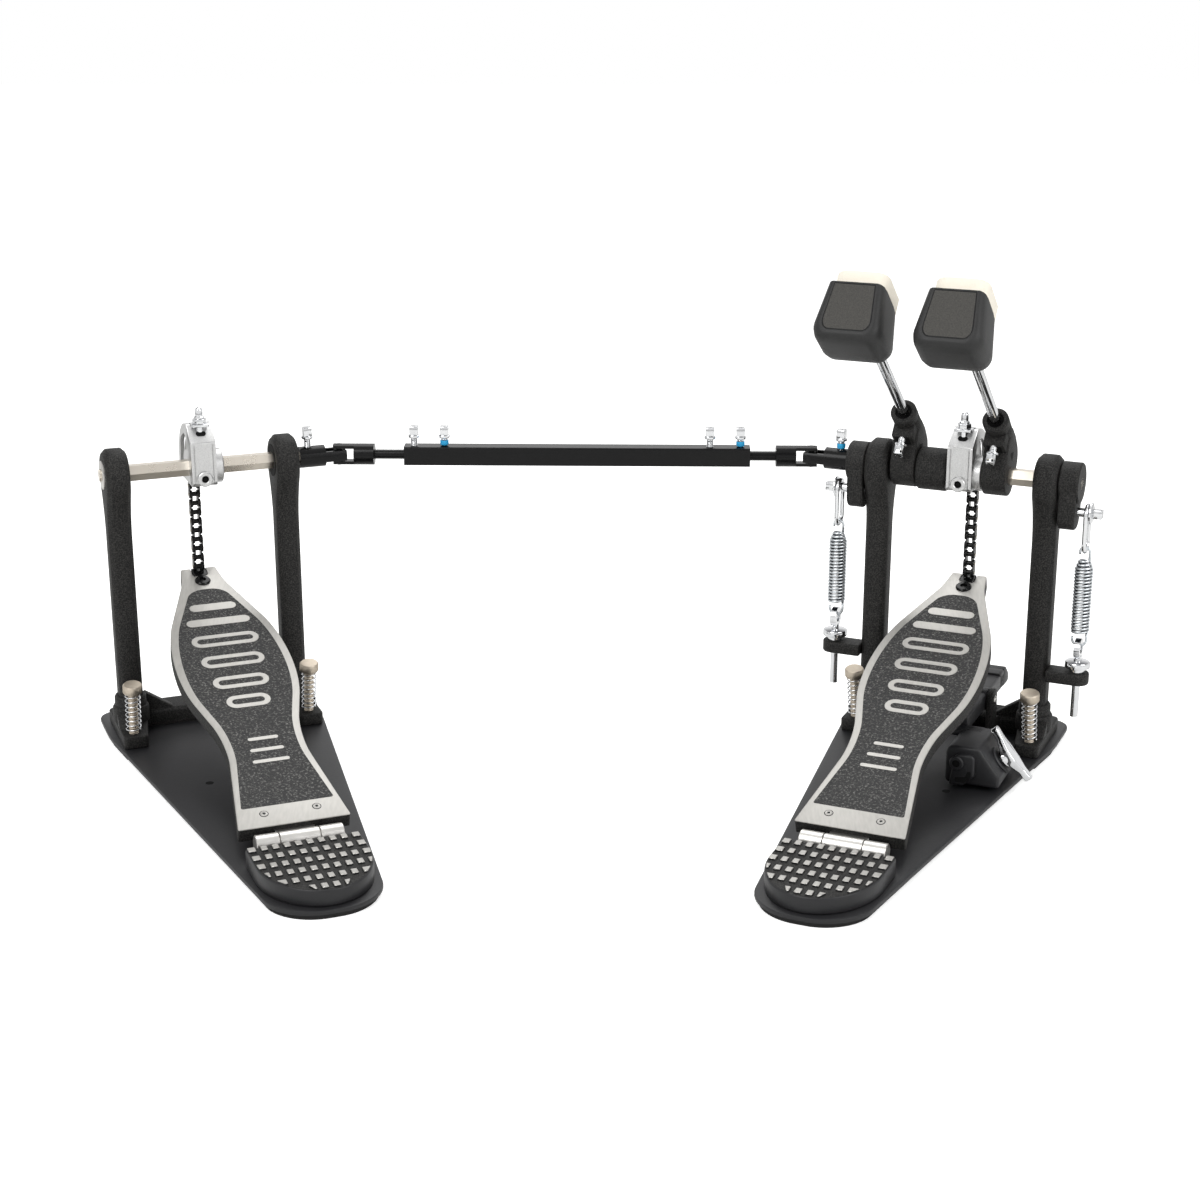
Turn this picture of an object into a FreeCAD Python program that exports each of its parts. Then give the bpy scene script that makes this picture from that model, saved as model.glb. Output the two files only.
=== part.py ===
import FreeCAD, Part
import math
import os
import Sketcher

# Double bass drum pedal: a right pedal that carries both beaters, a left pedal,
# and a telescoping linkage with two universal joints between them.
# X runs along the linkage, Y points at the drum, Z is up from the floor.

SIZES = {
    # where the pedals stand
    "right_x": 249.76, "right_y": 109.28, "right_yaw": -23.81, "left_yaw": 21.62,
    "linkage_span": 318.9, "linkage_yaw": -1.17, "left_joint_reach": 94.5, "right_joint_reach": 105.2,
    # base plate, rubber and cast foot
    "pad_thick": 3.0, "plate_thick": 3.0, "toe_half": 72.5, "toe_y": 43.0, "toe_corner": 13.0,
    "straight_y": -8.0, "straight_corner": 150.0, "heel_end_half": 40.6, "heel_end_y": -320.2,
    "heel_end_radius": 44.5, "pad_inset": 1.2, "toe_pad_back": -38.0, "heel_pad_front": -236.0,
    "plate_hole_radius": 2.6, "plate_hole_x": 27.0, "plate_hole_y": -112.0,
    "foot_high": 8.5, "foot_outer": 67.4, "foot_inner": 45.0, "foot_nose": 6.5, "foot_front": -36.0,
    "foot_back": 27.0,
    "foot_corner": 4.0, "bar_front": 3.0, "bar_high": 11.5, "bar_half": 43.0, "bar_slope": 2.0,
    "gusset_thick": 8.0, "gusset_run": 20.0, "gusset_rise": 12.0, "ramp_run": 8.0, "ramp_rise": 7.0,
    # posts and shafts
    "post_reach": 56.0, "post_wide": 15.5, "post_deep": 16.0, "post_chamfer": 4.0, "head_radius": 17.0,
    "head_neck": 26.0, "shaft_high": 184.6, "recess_radius": 11.0, "recess_deep": 4.0,
    "collar_radius": 12.0, "collar_high": 11.0, "collar_step": 1.5, "collar_upper": 7.0,
    "hex_flats": 10.0, "journal_radius": 4.0, "run_clear": 0.05, "fit_clear": 0.02, "end_stub": 2.5,
    # heel plate and hinge
    "heel_centre_y": -273.7, "heel_radius": 44.0, "heel_chord_y": -248.0, "heel_high": 11.5,
    "square_side": 5.2, "square_pitch_x": 8.4, "square_pitch_y": 8.6, "square_high": 1.1, "square_rim": 1.0,
    "hinge_high": 15.0, "knuckle_radius": 6.0, "knuckle_gap": 0.3, "centre_knuckle": 24.0,
    "outer_knuckle": 14.0, "hinge_pin_radius": 2.5, "leaf_thick": 2.5, "leaf_long": 26.0,
    # footboard, measured along the board from the hinge pin
    "board_top": 4.0, "board_deep": 9.0, "board_skin": 4.0, "board_wall": 3.5, "board_start": 10.7,
    "board_end": 283.5, "board_heel_half": 34.0, "waist_half": 22.4, "waist_at": 91.5,
    "waist_radius": 100.0,
    "ball_half": 45.5, "ball_at": 178.0, "ball_radius": 150.0, "neck_half": 14.5, "neck_at": 266.0,
    "neck_radius": 60.0, "tip_half": 11.8, "grip_border": 4.6, "grip_start": 28.6, "grip_end": 257.5,
    "grip_end_half": 11.0, "grip_end_radius": 12.0, "grip_deep": 0.6, "hollow_end": 252.0, "rib_thick": 3.0,
    "notch_half": 5.2, "notch_deep": 8.0, "tip_pin_inset": 4.0, "tip_pin_high": 1.0, "tip_pin_radius": 1.2,
    "board_edge": 1.2,
    # chain and cam
    "chain_pitch": 6.35, "chain_links": 13, "chain_radius": 27.0, "lead_links": 2, "top_links": 4,
    "link_plate": 0.95, "link_inner": 1.6, "link_gap": 0.15, "link_high": 5.4, "roller_radius": 1.65,
    "pin_head": 0.5,
    "pin_radius": 1.0, "cam_wide": 16.5, "cam_wall": 2.6, "cam_front": 14.0, "cam_low": 10.4,
    "cam_rim": 2.2,
    "cam_floor": 4.4, "cam_front_top": 19.0, "cam_back_of_top": 1.5, "cam_hub_radius": 11.5,
    "cam_hub_long": 5.5,
    "set_boss_radius": 4.6, "set_boss_long": 2.2, "set_hole_radius": 2.4,
    # right shaft lay-out along the shaft
    "sleeve_to": -9.0, "sleeve_radius": 14.0, "sleeve_floor": 3.0, "stub_radius": 4.5, "hub_wide": 16.0,
    "second_hub_from": -46.3, "main_hub_from": 14.4, "side_clear": 0.6, "rocker_wide": 13.0,
    # beater hubs and beaters
    "beater_lean": 52.0, "rod_offset": 22.0, "rod_radius": 3.5, "hub_radius": 13.0, "hub_top": 37.0,
    "hub_boss_radius": 8.6, "hub_boss_low": 6.0, "hub_front_rise": 20.0, "hub_bolt_at": 27.5,
    "rod_low": 4.0, "rod_high": 186.0, "head_low": 138.0, "head_tall": 52.0, "head_wide": 44.0,
    "head_back": 22.0, "head_front": 9.0, "head_corner": 9.0, "head_bevel": 6.0, "head_belly": 15.0,
    "felt_thick": 12.0, "felt_wide": 33.0, "felt_tall": 38.0, "felt_corner": 11.0,
    # rockers, swivels, springs and brackets
    "rocker_radius": 13.5, "rocker_drop": 30.0, "rocker_foot_half": 8.5, "spring_y": -4.0, "spring_x": 83.0,
    "swing_bolt_drop": 18.0, "swing_bolt_radius": 3.0, "ring_wire": 1.5, "ring_clear": 1.6,
    "ring_long": 18.0,
    "spring_wire": 0.85, "spring_radius": 5.2, "spring_turns": 20, "spring_low": 85.5, "spring_body": 50.0,
    "spring_top_share": 0.62, "spring_tip": 1.5, "eye_wire": 1.9, "eye_hole": 3.2, "eye_high": 75.0,
    "eye_rod_radius": 2.6, "eye_rod_low": 28.0, "bracket_top": 59.0, "bracket_thick": 8.0,
    "bracket_wide": 15.0,
    "bracket_end": 91.0, "nut_radius": 8.2, "nut_high": 5.5, "nut_collar_radius": 5.0, "nut_collar": 2.0,
    "rest_clear": 0.3,
    # floor spurs
    "spur_x": 59.4, "spur_top_y": -34.0, "spur_top_z": 50.7, "spur_tilt": 10.7, "spur_radius": 3.2,
    "spur_head_radius": 6.3, "spur_head_high": 6.0, "spur_tip": 5.0, "spur_long": 50.2, "spur_clear": 0.15,
    "coil_wire": 0.45, "coil_radius": 4.7, "coil_turns": 7,
    # hoop clamp
    "ear_x": 22.0, "ear_y": -14.0, "ear_z": 35.0, "ear_radius": 7.5, "ear_thick": 4.0, "lever_wide": 11.0,
    "clamp_pin_radius": 3.0, "jaw_half": 13.0, "jaw_back": 29.5, "jaw_front": 44.0, "jaw_low": 29.0,
    "jaw_high": 42.0,
    "lever_high": 11.0, "lever_tail_y": -64.0, "block_from_y": -104.0, "block_low": 9.0, "block_high": 34.0,
    "block_wide": 31.0, "block_x": 39.0, "block_skirt_share": 0.4, "jaw_nose": 6.0, "jaw_round": 2.5,
    "wing_tilt": 52.0, "wing_radius": 3.2, "wing_reach": 8.0, "wing_span": 46.0,
    "wing_thick": 5.0, "wing_wide": 11.0, "wing_hub_radius": 6.5, "wing_hub_long": 9.0, "wing_sink": 9.0,
    # universal joints and linkage
    "yoke_radius": 7.2, "yoke_ear": 3.7, "yoke_slot": 4.3, "yoke_flat": 3.5, "yoke_throat": 10.5,
    "cross_half": 3.6, "cross_pin_radius": 2.0, "cross_clear": 0.35, "yoke_sleeve": 15.0,
    "rod_yoke_long": 24.0,
    "link_rod_radius": 3.2, "tube_side": 12.7, "tube_from": 44.5, "tube_long": 233.0, "rod_in_tube": 64.0,
    "tube_corner": 1.2, "key_step": 6.5, "key_pair": 20.5,
    # square-headed key bolts
    "key_shank_radius": 2.4, "key_shank": 5.5, "key_flange_radius": 3.9, "key_flange": 1.6,
    "key_square": 5.8, "key_head": 6.2,
    "key_sink": 3.0,
    # one overrun for every cut
    "overrun": 5.0,
}

doc = FreeCAD.newDocument("DoublePedal")
sheet = doc.addObject("Spreadsheet::Sheet", "Sizes")
for row, (alias, number) in enumerate(SIZES.items(), 1):
    sheet.set(f"A{row}", alias)
    sheet.set(f"B{row}", str(number))
    sheet.setAlias(f"B{row}", alias)
doc.recompute()


class Size:
    """A value together with the sheet formula that yields it."""

    def __init__(self, value, text):
        self.value = float(value)
        self.text = text

    def __add__(self, other):
        other = size(other)
        return Size(self.value + other.value, f"({self.text} + {other.text})")

    def __radd__(self, other):
        return size(other) + self

    def __sub__(self, other):
        other = size(other)
        return Size(self.value - other.value, f"({self.text} - {other.text})")

    def __rsub__(self, other):
        return size(other) - self

    def __mul__(self, other):
        other = size(other)
        return Size(self.value * other.value, f"({self.text} * {other.text})")

    def __rmul__(self, other):
        return self * other

    def __truediv__(self, other):
        other = size(other)
        return Size(self.value / other.value, f"({self.text} / {other.text})")

    def __neg__(self):
        return Size(-self.value, f"(0 - {self.text})")

    def __float__(self):
        return self.value


def size(value):
    return value if isinstance(value, Size) else Size(value, repr(float(value)))


class Sheet:
    """The sheet's cells as attributes."""

    def __getattr__(self, alias):
        return Size(sheet.get(alias), f"Sizes.{alias}")


s = Sheet()
nodes = {}
serial = [0]


def fresh(kind):
    serial[0] += 1
    return f"{kind}{serial[0]}"


def bind(feature, prop, value):
    feature.setExpression(prop, size(value).text)


def node(label, feature, placement=FreeCAD.Placement()):
    """Names a finished sub-part and stands it in its place."""
    feature.Label = label
    feature.Placement = placement
    nodes[label] = feature
    return feature


# Profiles and features.
def sketch_on(body, plane, offset=0):
    sketch = body.newObject("Sketcher::SketchObject", fresh("Sketch"))
    support = [item for item in body.Origin.OriginFeatures if item.Role == plane + "_Plane"][0]
    sketch.AttachmentSupport = [(support, "")]
    sketch.MapMode = "FlatFace"
    bind(sketch, "AttachmentOffset.Base.z", offset)
    return sketch


def fix(sketch, geometry, point, at):
    """Dimensions one point of a sketch from its origin."""
    for kind, value in (("DistanceX", at[0]), ("DistanceY", at[1])):
        number = sketch.addConstraint(Sketcher.Constraint(kind, -1, 1, geometry, point, float(value)))
        bind(sketch, f"Constraints[{number}]", value)


def outline(body, plane, corners, offset=0):
    """A closed profile of straight sides, each corner (a, b) or rounded (a, b, radius)."""
    sketch = sketch_on(body, plane, offset)
    spots = [FreeCAD.Vector(float(c[0]), float(c[1]), 0) for c in corners]
    count = len(corners)
    arrive = []
    leave = []
    arcs = []
    for i in range(count):
        before = (spots[i - 1] - spots[i]).normalize()
        after = (spots[(i + 1) % count] - spots[i]).normalize()
        if len(corners[i]) == 2:
            arrive.append(spots[i])
            leave.append(spots[i])
            arcs.append(None)
            continue
        half = before.getAngle(after) / 2
        reach = float(corners[i][2]) / math.tan(half)
        start = spots[i] + before * reach
        end = spots[i] + after * reach
        centre = spots[i] + (before + after).normalize() * (float(corners[i][2]) / math.sin(half))
        arrive.append(start)
        leave.append(end)
        arcs.append((start, end, centre, before.cross(after).z < 0))
    lines = []
    for i in range(count):
        line = Part.LineSegment(leave[i], arrive[(i + 1) % count])
        lines.append(sketch.addGeometry(line, False))
    for i in range(count):
        if arcs[i] is None:
            sketch.addConstraint(Sketcher.Constraint("Coincident", lines[i - 1], 2, lines[i], 1))
            fix(sketch, lines[i], 1, corners[i])
            continue
        start, end, centre, left_turn = arcs[i]
        first, last = (start, end) if left_turn else (end, start)
        begin = math.atan2(first.y - centre.y, first.x - centre.x)
        finish = math.atan2(last.y - centre.y, last.x - centre.x)
        circle = Part.Circle(centre, FreeCAD.Vector(0, 0, 1), float(corners[i][2]))
        arc = sketch.addGeometry(Part.ArcOfCircle(circle, begin, finish), False)
        at_start, at_end = (1, 2) if left_turn else (2, 1)
        sketch.addConstraint(Sketcher.Constraint("Tangent", lines[i - 1], 2, arc, at_start))
        sketch.addConstraint(Sketcher.Constraint("Tangent", arc, at_end, lines[i], 1))
        number = sketch.addConstraint(Sketcher.Constraint("Radius", arc, float(corners[i][2])))
        bind(sketch, f"Constraints[{number}]", corners[i][2])
        corner = sketch.addGeometry(Part.Point(spots[i]), True)
        sketch.addConstraint(Sketcher.Constraint("PointOnObject", corner, 1, lines[i - 1]))
        sketch.addConstraint(Sketcher.Constraint("PointOnObject", corner, 1, lines[i]))
        fix(sketch, corner, 1, corners[i])
    return sketch


def circle(body, plane, centre, radius, offset=0):
    sketch = sketch_on(body, plane, offset)
    at = FreeCAD.Vector(float(centre[0]), float(centre[1]), 0)
    ring = sketch.addGeometry(Part.Circle(at, FreeCAD.Vector(0, 0, 1), float(radius)), False)
    number = sketch.addConstraint(Sketcher.Constraint("Radius", ring, float(radius)))
    bind(sketch, f"Constraints[{number}]", radius)
    fix(sketch, ring, 3, centre)
    return sketch


def feature(body, kind, sketch, length=None, symmetric=False, back=False):
    made = body.newObject("PartDesign::" + kind, fresh(kind))
    made.Profile = sketch
    if length is not None:
        bind(made, "Length", length)
    made.SideType = "Symmetric" if symmetric else "One side"
    made.Reversed = back
    return made


def new_body():
    return doc.addObject("PartDesign::Body", fresh("Body"))


TURNS = {
    "x": FreeCAD.Rotation(FreeCAD.Vector(0, 1, 0), 90),
    "y": FreeCAD.Rotation(FreeCAD.Vector(1, 0, 0), -90),
    "z": FreeCAD.Rotation(),
}


def rod(radius, length, at=None, axis="z", seat=None):
    """A round bar along an axis from the point at, or along Z of a given seat."""
    bar = doc.addObject("Part::Cylinder", fresh("Rod"))
    bind(bar, "Radius", radius)
    bind(bar, "Height", length)
    bar.Placement = seat or FreeCAD.Placement(FreeCAD.Vector(), TURNS[axis])
    for name, value in zip("xyz", at or ()):
        bind(bar, f"Placement.Base.{name}", value)
    return bar


def cone(low, high, length):
    bar = doc.addObject("Part::Cone", fresh("Cone"))
    bind(bar, "Radius1", low)
    bind(bar, "Radius2", high)
    bind(bar, "Height", length)
    return bar


def block(low, high):
    """A square block between two opposite corners."""
    made = doc.addObject("Part::Box", fresh("Block"))
    for prop, name, a, b in zip(("Length", "Width", "Height"), "xyz", low, high):
        bind(made, prop, size(b) - size(a))
        bind(made, f"Placement.Base.{name}", a)
    return made


def fuse(*pieces):
    made = doc.addObject("Part::MultiFuse", fresh("Fuse"))
    made.Shapes = list(pieces)
    made.Refine = True
    return made


def cut(base, *tools):
    made = doc.addObject("Part::Cut", fresh("Cut"))
    made.Base = base
    made.Tool = tools[0] if len(tools) == 1 else fuse(*tools)
    made.Refine = True
    return made


def group(*pieces):
    made = doc.addObject("Part::Compound", fresh("Group"))
    made.Links = list(pieces)
    return made


def shaped(shape):
    made = doc.addObject("Part::Feature", fresh("Shape"))
    made.Shape = shape
    return made


def moved(piece, placement):
    piece.Placement = placement.multiply(piece.Placement)
    return piece


def sine(angle):
    return math.sin(math.radians(float(angle)))


def cosine(angle):
    return math.cos(math.radians(float(angle)))


# The frames of the pedals and of the linkage.
def standing(x, y, yaw):
    return FreeCAD.Placement(FreeCAD.Vector(x, y, 0), FreeCAD.Rotation(FreeCAD.Vector(0, 0, 1), float(yaw)))


right_frame = standing(float(s.right_x), float(s.right_y), s.right_yaw)
shaft_point = FreeCAD.Vector(0, 0, float(s.shaft_high))
right_joint = right_frame.multVec(FreeCAD.Vector(-float(s.right_joint_reach), 0, float(s.shaft_high)))
linkage_turn = FreeCAD.Rotation(FreeCAD.Vector(0, 0, 1), float(s.linkage_yaw))
left_joint = right_joint - linkage_turn.multVec(FreeCAD.Vector(float(s.linkage_span), 0, 0))
left_turn = FreeCAD.Rotation(FreeCAD.Vector(0, 0, 1), float(s.left_yaw))
left_centre = left_joint - left_turn.multVec(FreeCAD.Vector(float(s.left_joint_reach), 0, 0))
left_frame = standing(left_centre.x, left_centre.y, s.left_yaw)
linkage_frame = FreeCAD.Placement(left_joint, linkage_turn)

# The chain hangs straight down from the drum side of the cam to a pin in the tip of
# the footboard, a whole number of links below the shaft: that sets the board's slope.
tip_along = s.board_end - s.tip_pin_inset
tip_rise = s.shaft_high - s.chain_links * s.chain_pitch - s.hinge_high
tip_reach = math.hypot(float(tip_along), float(s.tip_pin_high))
board_slope = math.degrees(math.asin(float(tip_rise) / tip_reach) - math.atan2(float(s.tip_pin_high),
        float(tip_along)))
hinge_y = float(s.chain_radius) - math.sqrt(tip_reach ** 2 - float(tip_rise) ** 2)
board_turn = FreeCAD.Rotation(FreeCAD.Vector(1, 0, 0), board_slope)
board_seat = FreeCAD.Placement(FreeCAD.Vector(0, hinge_y, float(s.hinge_high)), board_turn)
shaft_seat = FreeCAD.Placement(shaft_point, FreeCAD.Rotation())
lean_seat = FreeCAD.Placement(shaft_point, FreeCAD.Rotation(FreeCAD.Vector(1, 0, 0), float(s.beater_lean)))
plate_top = s.pad_thick + s.plate_thick
foot_top = plate_top + s.foot_high
print("board slope", round(board_slope, 3), "hinge y", round(hinge_y, 3))


# Pieces that repeat.
def key_bolt(at, turn):
    """A square-headed bolt: shank, flange and head, standing on the point at, sunk into its hole."""
    sink = rod(s.key_shank_radius, s.key_shank + s.key_sink, (0, 0, -s.key_sink))
    flange = rod(s.key_flange_radius, s.key_flange, (0, 0, s.key_shank))
    half = s.key_square / 2
    low = s.key_shank + s.key_flange
    head = block((-half, -half, low), (half, half, low + s.key_head))
    bolt = fuse(sink, flange, head)
    bolt.Placement = FreeCAD.Placement(at, turn)
    return bolt


def key_hole(at, turn):
    low = at - turn.multVec(FreeCAD.Vector(0, 0, float(s.key_sink)))
    return rod(s.key_shank_radius + s.fit_clear, s.key_sink + s.overrun, seat=FreeCAD.Placement(low, turn))


def spur_turn():
    return FreeCAD.Rotation(FreeCAD.Vector(1, 0, 0), float(s.spur_tilt))


def spur_foot(side):
    """The lower end of a spur, from the top of its head down its tilted axis."""
    top = FreeCAD.Vector(side * float(s.spur_x), float(s.spur_top_y), float(s.spur_top_z))
    return top - spur_turn().multVec(FreeCAD.Vector(0, 0, float(s.spur_long)))


def spur_bore(side):
    low = spur_foot(side) - spur_turn().multVec(FreeCAD.Vector(0, 0, float(s.overrun)))
    return rod(s.spur_radius + s.spur_clear, s.spur_long, seat=FreeCAD.Placement(low, spur_turn()))


def biarc(p0, t0, p1, t1):
    """Two tangent arcs from p0 to p1."""
    chord = p1 - p0
    both = t0 + t1
    bend = 2 * (1 - t0.dot(t1))
    along = chord.dot(both)
    if bend < 1e-9:
        reach = chord.dot(chord) / (2 * along) if along else 0
    else:
        reach = (-along + math.sqrt(along ** 2 + bend * chord.dot(chord))) / bend
    middle = (p0 + p1 + (t0 - t1) * reach) / 2
    return [arc_from(p0, t0, middle), arc_back(middle, p1, t1)]


def arc_from(a, tangent, b):
    chord = b - a
    along = FreeCAD.Vector(chord).normalize()
    side = tangent - along * tangent.dot(along)
    if side.Length < 1e-7:
        return Part.LineSegment(a, b).toShape()
    rise = chord.Length / 2 * math.tan(tangent.getAngle(along) / 2)
    return Part.Arc(a, (a + b) / 2 + side.normalize() * rise, b).toShape()


def arc_back(a, b, tangent):
    chord = b - a
    along = FreeCAD.Vector(chord).normalize()
    side = along * tangent.dot(along) - tangent
    if side.Length < 1e-7:
        return Part.LineSegment(a, b).toShape()
    rise = chord.Length / 2 * math.tan(tangent.getAngle(along) / 2)
    return Part.Arc(a, (a + b) / 2 + side.normalize() * rise, b).toShape()


def wound(stations, wire):
    """One unbroken round tube through stations of point and direction."""
    edges = []
    for (p0, t0), (p1, t1) in zip(stations, stations[1:]):
        edges += biarc(p0, t0, p1, t1)
    path = Part.Wire(edges)
    ring = Part.Wire([Part.Circle(stations[0][0], stations[0][1], wire).toShape()])
    return path.makePipeShell([ring], True, False), path


def self_gap(path, wire, apart):
    """The least gap between turns, measured on points of the path that lie apart along it."""
    count = int(path.Length / wire)
    points = path.discretize(count)
    skip = int(apart / wire)
    least = min((points[i] - points[j]).Length for i in range(0, count, 2) for j in range(i + skip,
            count, 3))
    return least - 2 * wire


def turn_station(radius, angle, height, climb, swell=0):
    point = FreeCAD.Vector(radius * math.cos(angle), radius * math.sin(angle), height)
    ahead = FreeCAD.Vector(-radius * math.sin(angle) + swell * math.cos(angle),
                           radius * math.cos(angle) + swell * math.sin(angle), climb)
    return point, ahead.normalize()


# One pedal's frame: plate, rubber, cast foot, posts, heel, spurs.
def plate_outline(body, offset, inset=0):
    inset = size(inset)
    return outline(body, "XY", [
        (s.toe_half - inset, s.toe_y - inset, s.toe_corner),
        (-s.toe_half + inset, s.toe_y - inset, s.toe_corner),
        (-s.toe_half + inset, s.straight_y, s.straight_corner),
        (-s.heel_end_half + inset, s.heel_end_y + inset, s.heel_end_radius - inset),
        (s.heel_end_half - inset, s.heel_end_y + inset, s.heel_end_radius - inset),
        (s.toe_half - inset, s.straight_y, s.straight_corner)], offset)


def base_plate(name, frame):
    body = new_body()
    feature(body, "Pad", plate_outline(body, s.pad_thick), s.plate_thick)
    for x, y in ((-s.plate_hole_x, s.plate_hole_y), (s.plate_hole_x, s.plate_hole_y)):
        hole = circle(body, "XY", (x, y), s.plate_hole_radius, s.pad_thick)
        feature(body, "Pocket", hole, s.plate_thick + s.overrun, back=True)
    node(name + "_base_plate", cut(body, spur_bore(-1), spur_bore(1)), frame)


def rubber_pads(name, frame):
    sole = new_body()
    feature(sole, "Pad", plate_outline(sole, 0, s.pad_inset), s.pad_thick)
    middle = block((-s.toe_half, s.heel_pad_front, -s.overrun),
            (s.toe_half, s.toe_pad_back, s.pad_thick + s.overrun))
    node(name + "_rubber_pads", cut(sole, middle, spur_bore(-1), spur_bore(1)), frame)


def foot_casting(name, frame, clamp):
    body = new_body()
    corner = s.foot_corner
    feature(body, "Pad", outline(body, "XY", [
        (s.foot_outer, s.foot_front, corner), (s.foot_outer, s.foot_back, corner),
        (-s.foot_outer, s.foot_back, corner), (-s.foot_outer, s.foot_front, corner),
        (-s.foot_inner - s.foot_nose, s.foot_front, corner), (-s.foot_inner, s.bar_front, corner),
        (s.foot_inner, s.bar_front, corner), (s.foot_inner + s.foot_nose, s.foot_front, corner)],
                plate_top), s.foot_high)
    feature(body, "Pad", outline(body, "YZ", [
        (s.bar_front, plate_top), (s.foot_back, plate_top),
                (s.foot_back, plate_top + s.bar_high - s.bar_slope),
        (s.foot_back - s.bar_slope, plate_top + s.bar_high),
                (s.bar_front + s.bar_slope, plate_top + s.bar_high),
        (s.bar_front, plate_top + s.bar_high - s.bar_slope)]), s.bar_half * 2, symmetric=True)
    bar_top = plate_top + s.bar_high
    ramp_end = -s.collar_radius - s.side_clear
    ramp_wide = s.foot_outer - s.foot_inner - s.foot_nose
    for side in (-1, 1):
        near = (s.post_reach - s.collar_radius - s.side_clear) * side
        far = near - s.gusset_run * side
        feature(body, "Pad", outline(body, "XZ", [
            (near, plate_top), (near, bar_top + s.gusset_rise), (far, bar_top - s.bar_slope),
                    (far, plate_top)],
            -s.bar_front - s.bar_slope - s.gusset_thick / 2), s.gusset_thick, symmetric=True)
        feature(body, "Pad", outline(body, "YZ", [
            (ramp_end - s.ramp_run, plate_top), (ramp_end, plate_top), (ramp_end, foot_top + s.ramp_rise),
            (ramp_end - s.ramp_run, foot_top)], (s.foot_outer - ramp_wide / 2) * side), ramp_wide,
                    symmetric=True)
    tools = [spur_bore(-1), spur_bore(1)]
    casting = cut(body, *tools)
    if clamp:
        ears = []
        for side in (-1, 1):
            inner = s.ear_x + (s.lever_wide / 2 + s.side_clear) * side
            outer = inner + s.ear_thick * side
            low, high = (inner, outer) if side > 0 else (outer, inner)
            ears.append(rod(s.ear_radius, s.ear_thick, (low, s.ear_y, s.ear_z), "x"))
            ears.append(block((low, s.ear_y - s.ear_radius, plate_top),
                    (high, s.ear_y + s.ear_radius, s.ear_z)))
            ears.append(block((low, s.ear_y, plate_top),
                    (high, s.bar_front + s.bar_slope, plate_top + s.bar_high)))
        reach = s.lever_wide / 2 + s.side_clear + s.ear_thick
        ears.append(rod(s.clamp_pin_radius, reach * 2, (s.ear_x - reach, s.ear_y, s.ear_z), "x"))
        casting = fuse(casting, *ears)
    node(name + "_foot_casting", casting, frame)


def posts(name, frame):
    pair = []
    for side in (-1, 1):
        body = new_body()
        half = s.post_wide / 2
        deep = s.post_deep / 2
        centre = s.post_reach * side
        feature(body, "Pad", outline(body, "XY", [
            (centre - half + s.post_chamfer, -deep), (centre + half - s.post_chamfer, -deep),
            (centre + half, -deep + s.post_chamfer), (centre + half, deep),
            (centre - half, deep), (centre - half, -deep + s.post_chamfer)], foot_top),
            s.shaft_high - foot_top)
        round_head = s.head_radius - s.fit_clear
        feature(body, "Pad", outline(body, "YZ", [
            (-deep, s.shaft_high - s.head_neck), (deep, s.shaft_high - s.head_neck),
            (s.head_radius, s.shaft_high - s.head_radius / 2, s.head_radius),
            (s.head_radius, s.shaft_high + s.head_radius, round_head),
            (-s.head_radius, s.shaft_high + s.head_radius, round_head),
            (-s.head_radius, s.shaft_high - s.head_radius / 2, s.head_radius)], centre), s.post_wide,
                    symmetric=True)
        feature(body, "Pad", circle(body, "XY", (centre, 0), s.collar_radius, foot_top), s.collar_high)
        feature(body, "Pad", circle(body, "XY", (centre, 0), s.collar_radius - s.collar_step,
                foot_top + s.collar_high),
                s.collar_upper)
        bore = circle(body, "YZ", (0, s.shaft_high), s.journal_radius + s.run_clear, centre)
        feature(body, "Pocket", bore, s.post_wide + s.overrun, symmetric=True)
        inner = centre - half * side
        recess = circle(body, "YZ", (0, s.shaft_high), s.recess_radius, inner)
        feature(body, "Pocket", recess, s.recess_deep, back=side > 0)
        pair.append(body)
    node(name + "_posts", group(*pair), frame)


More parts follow.
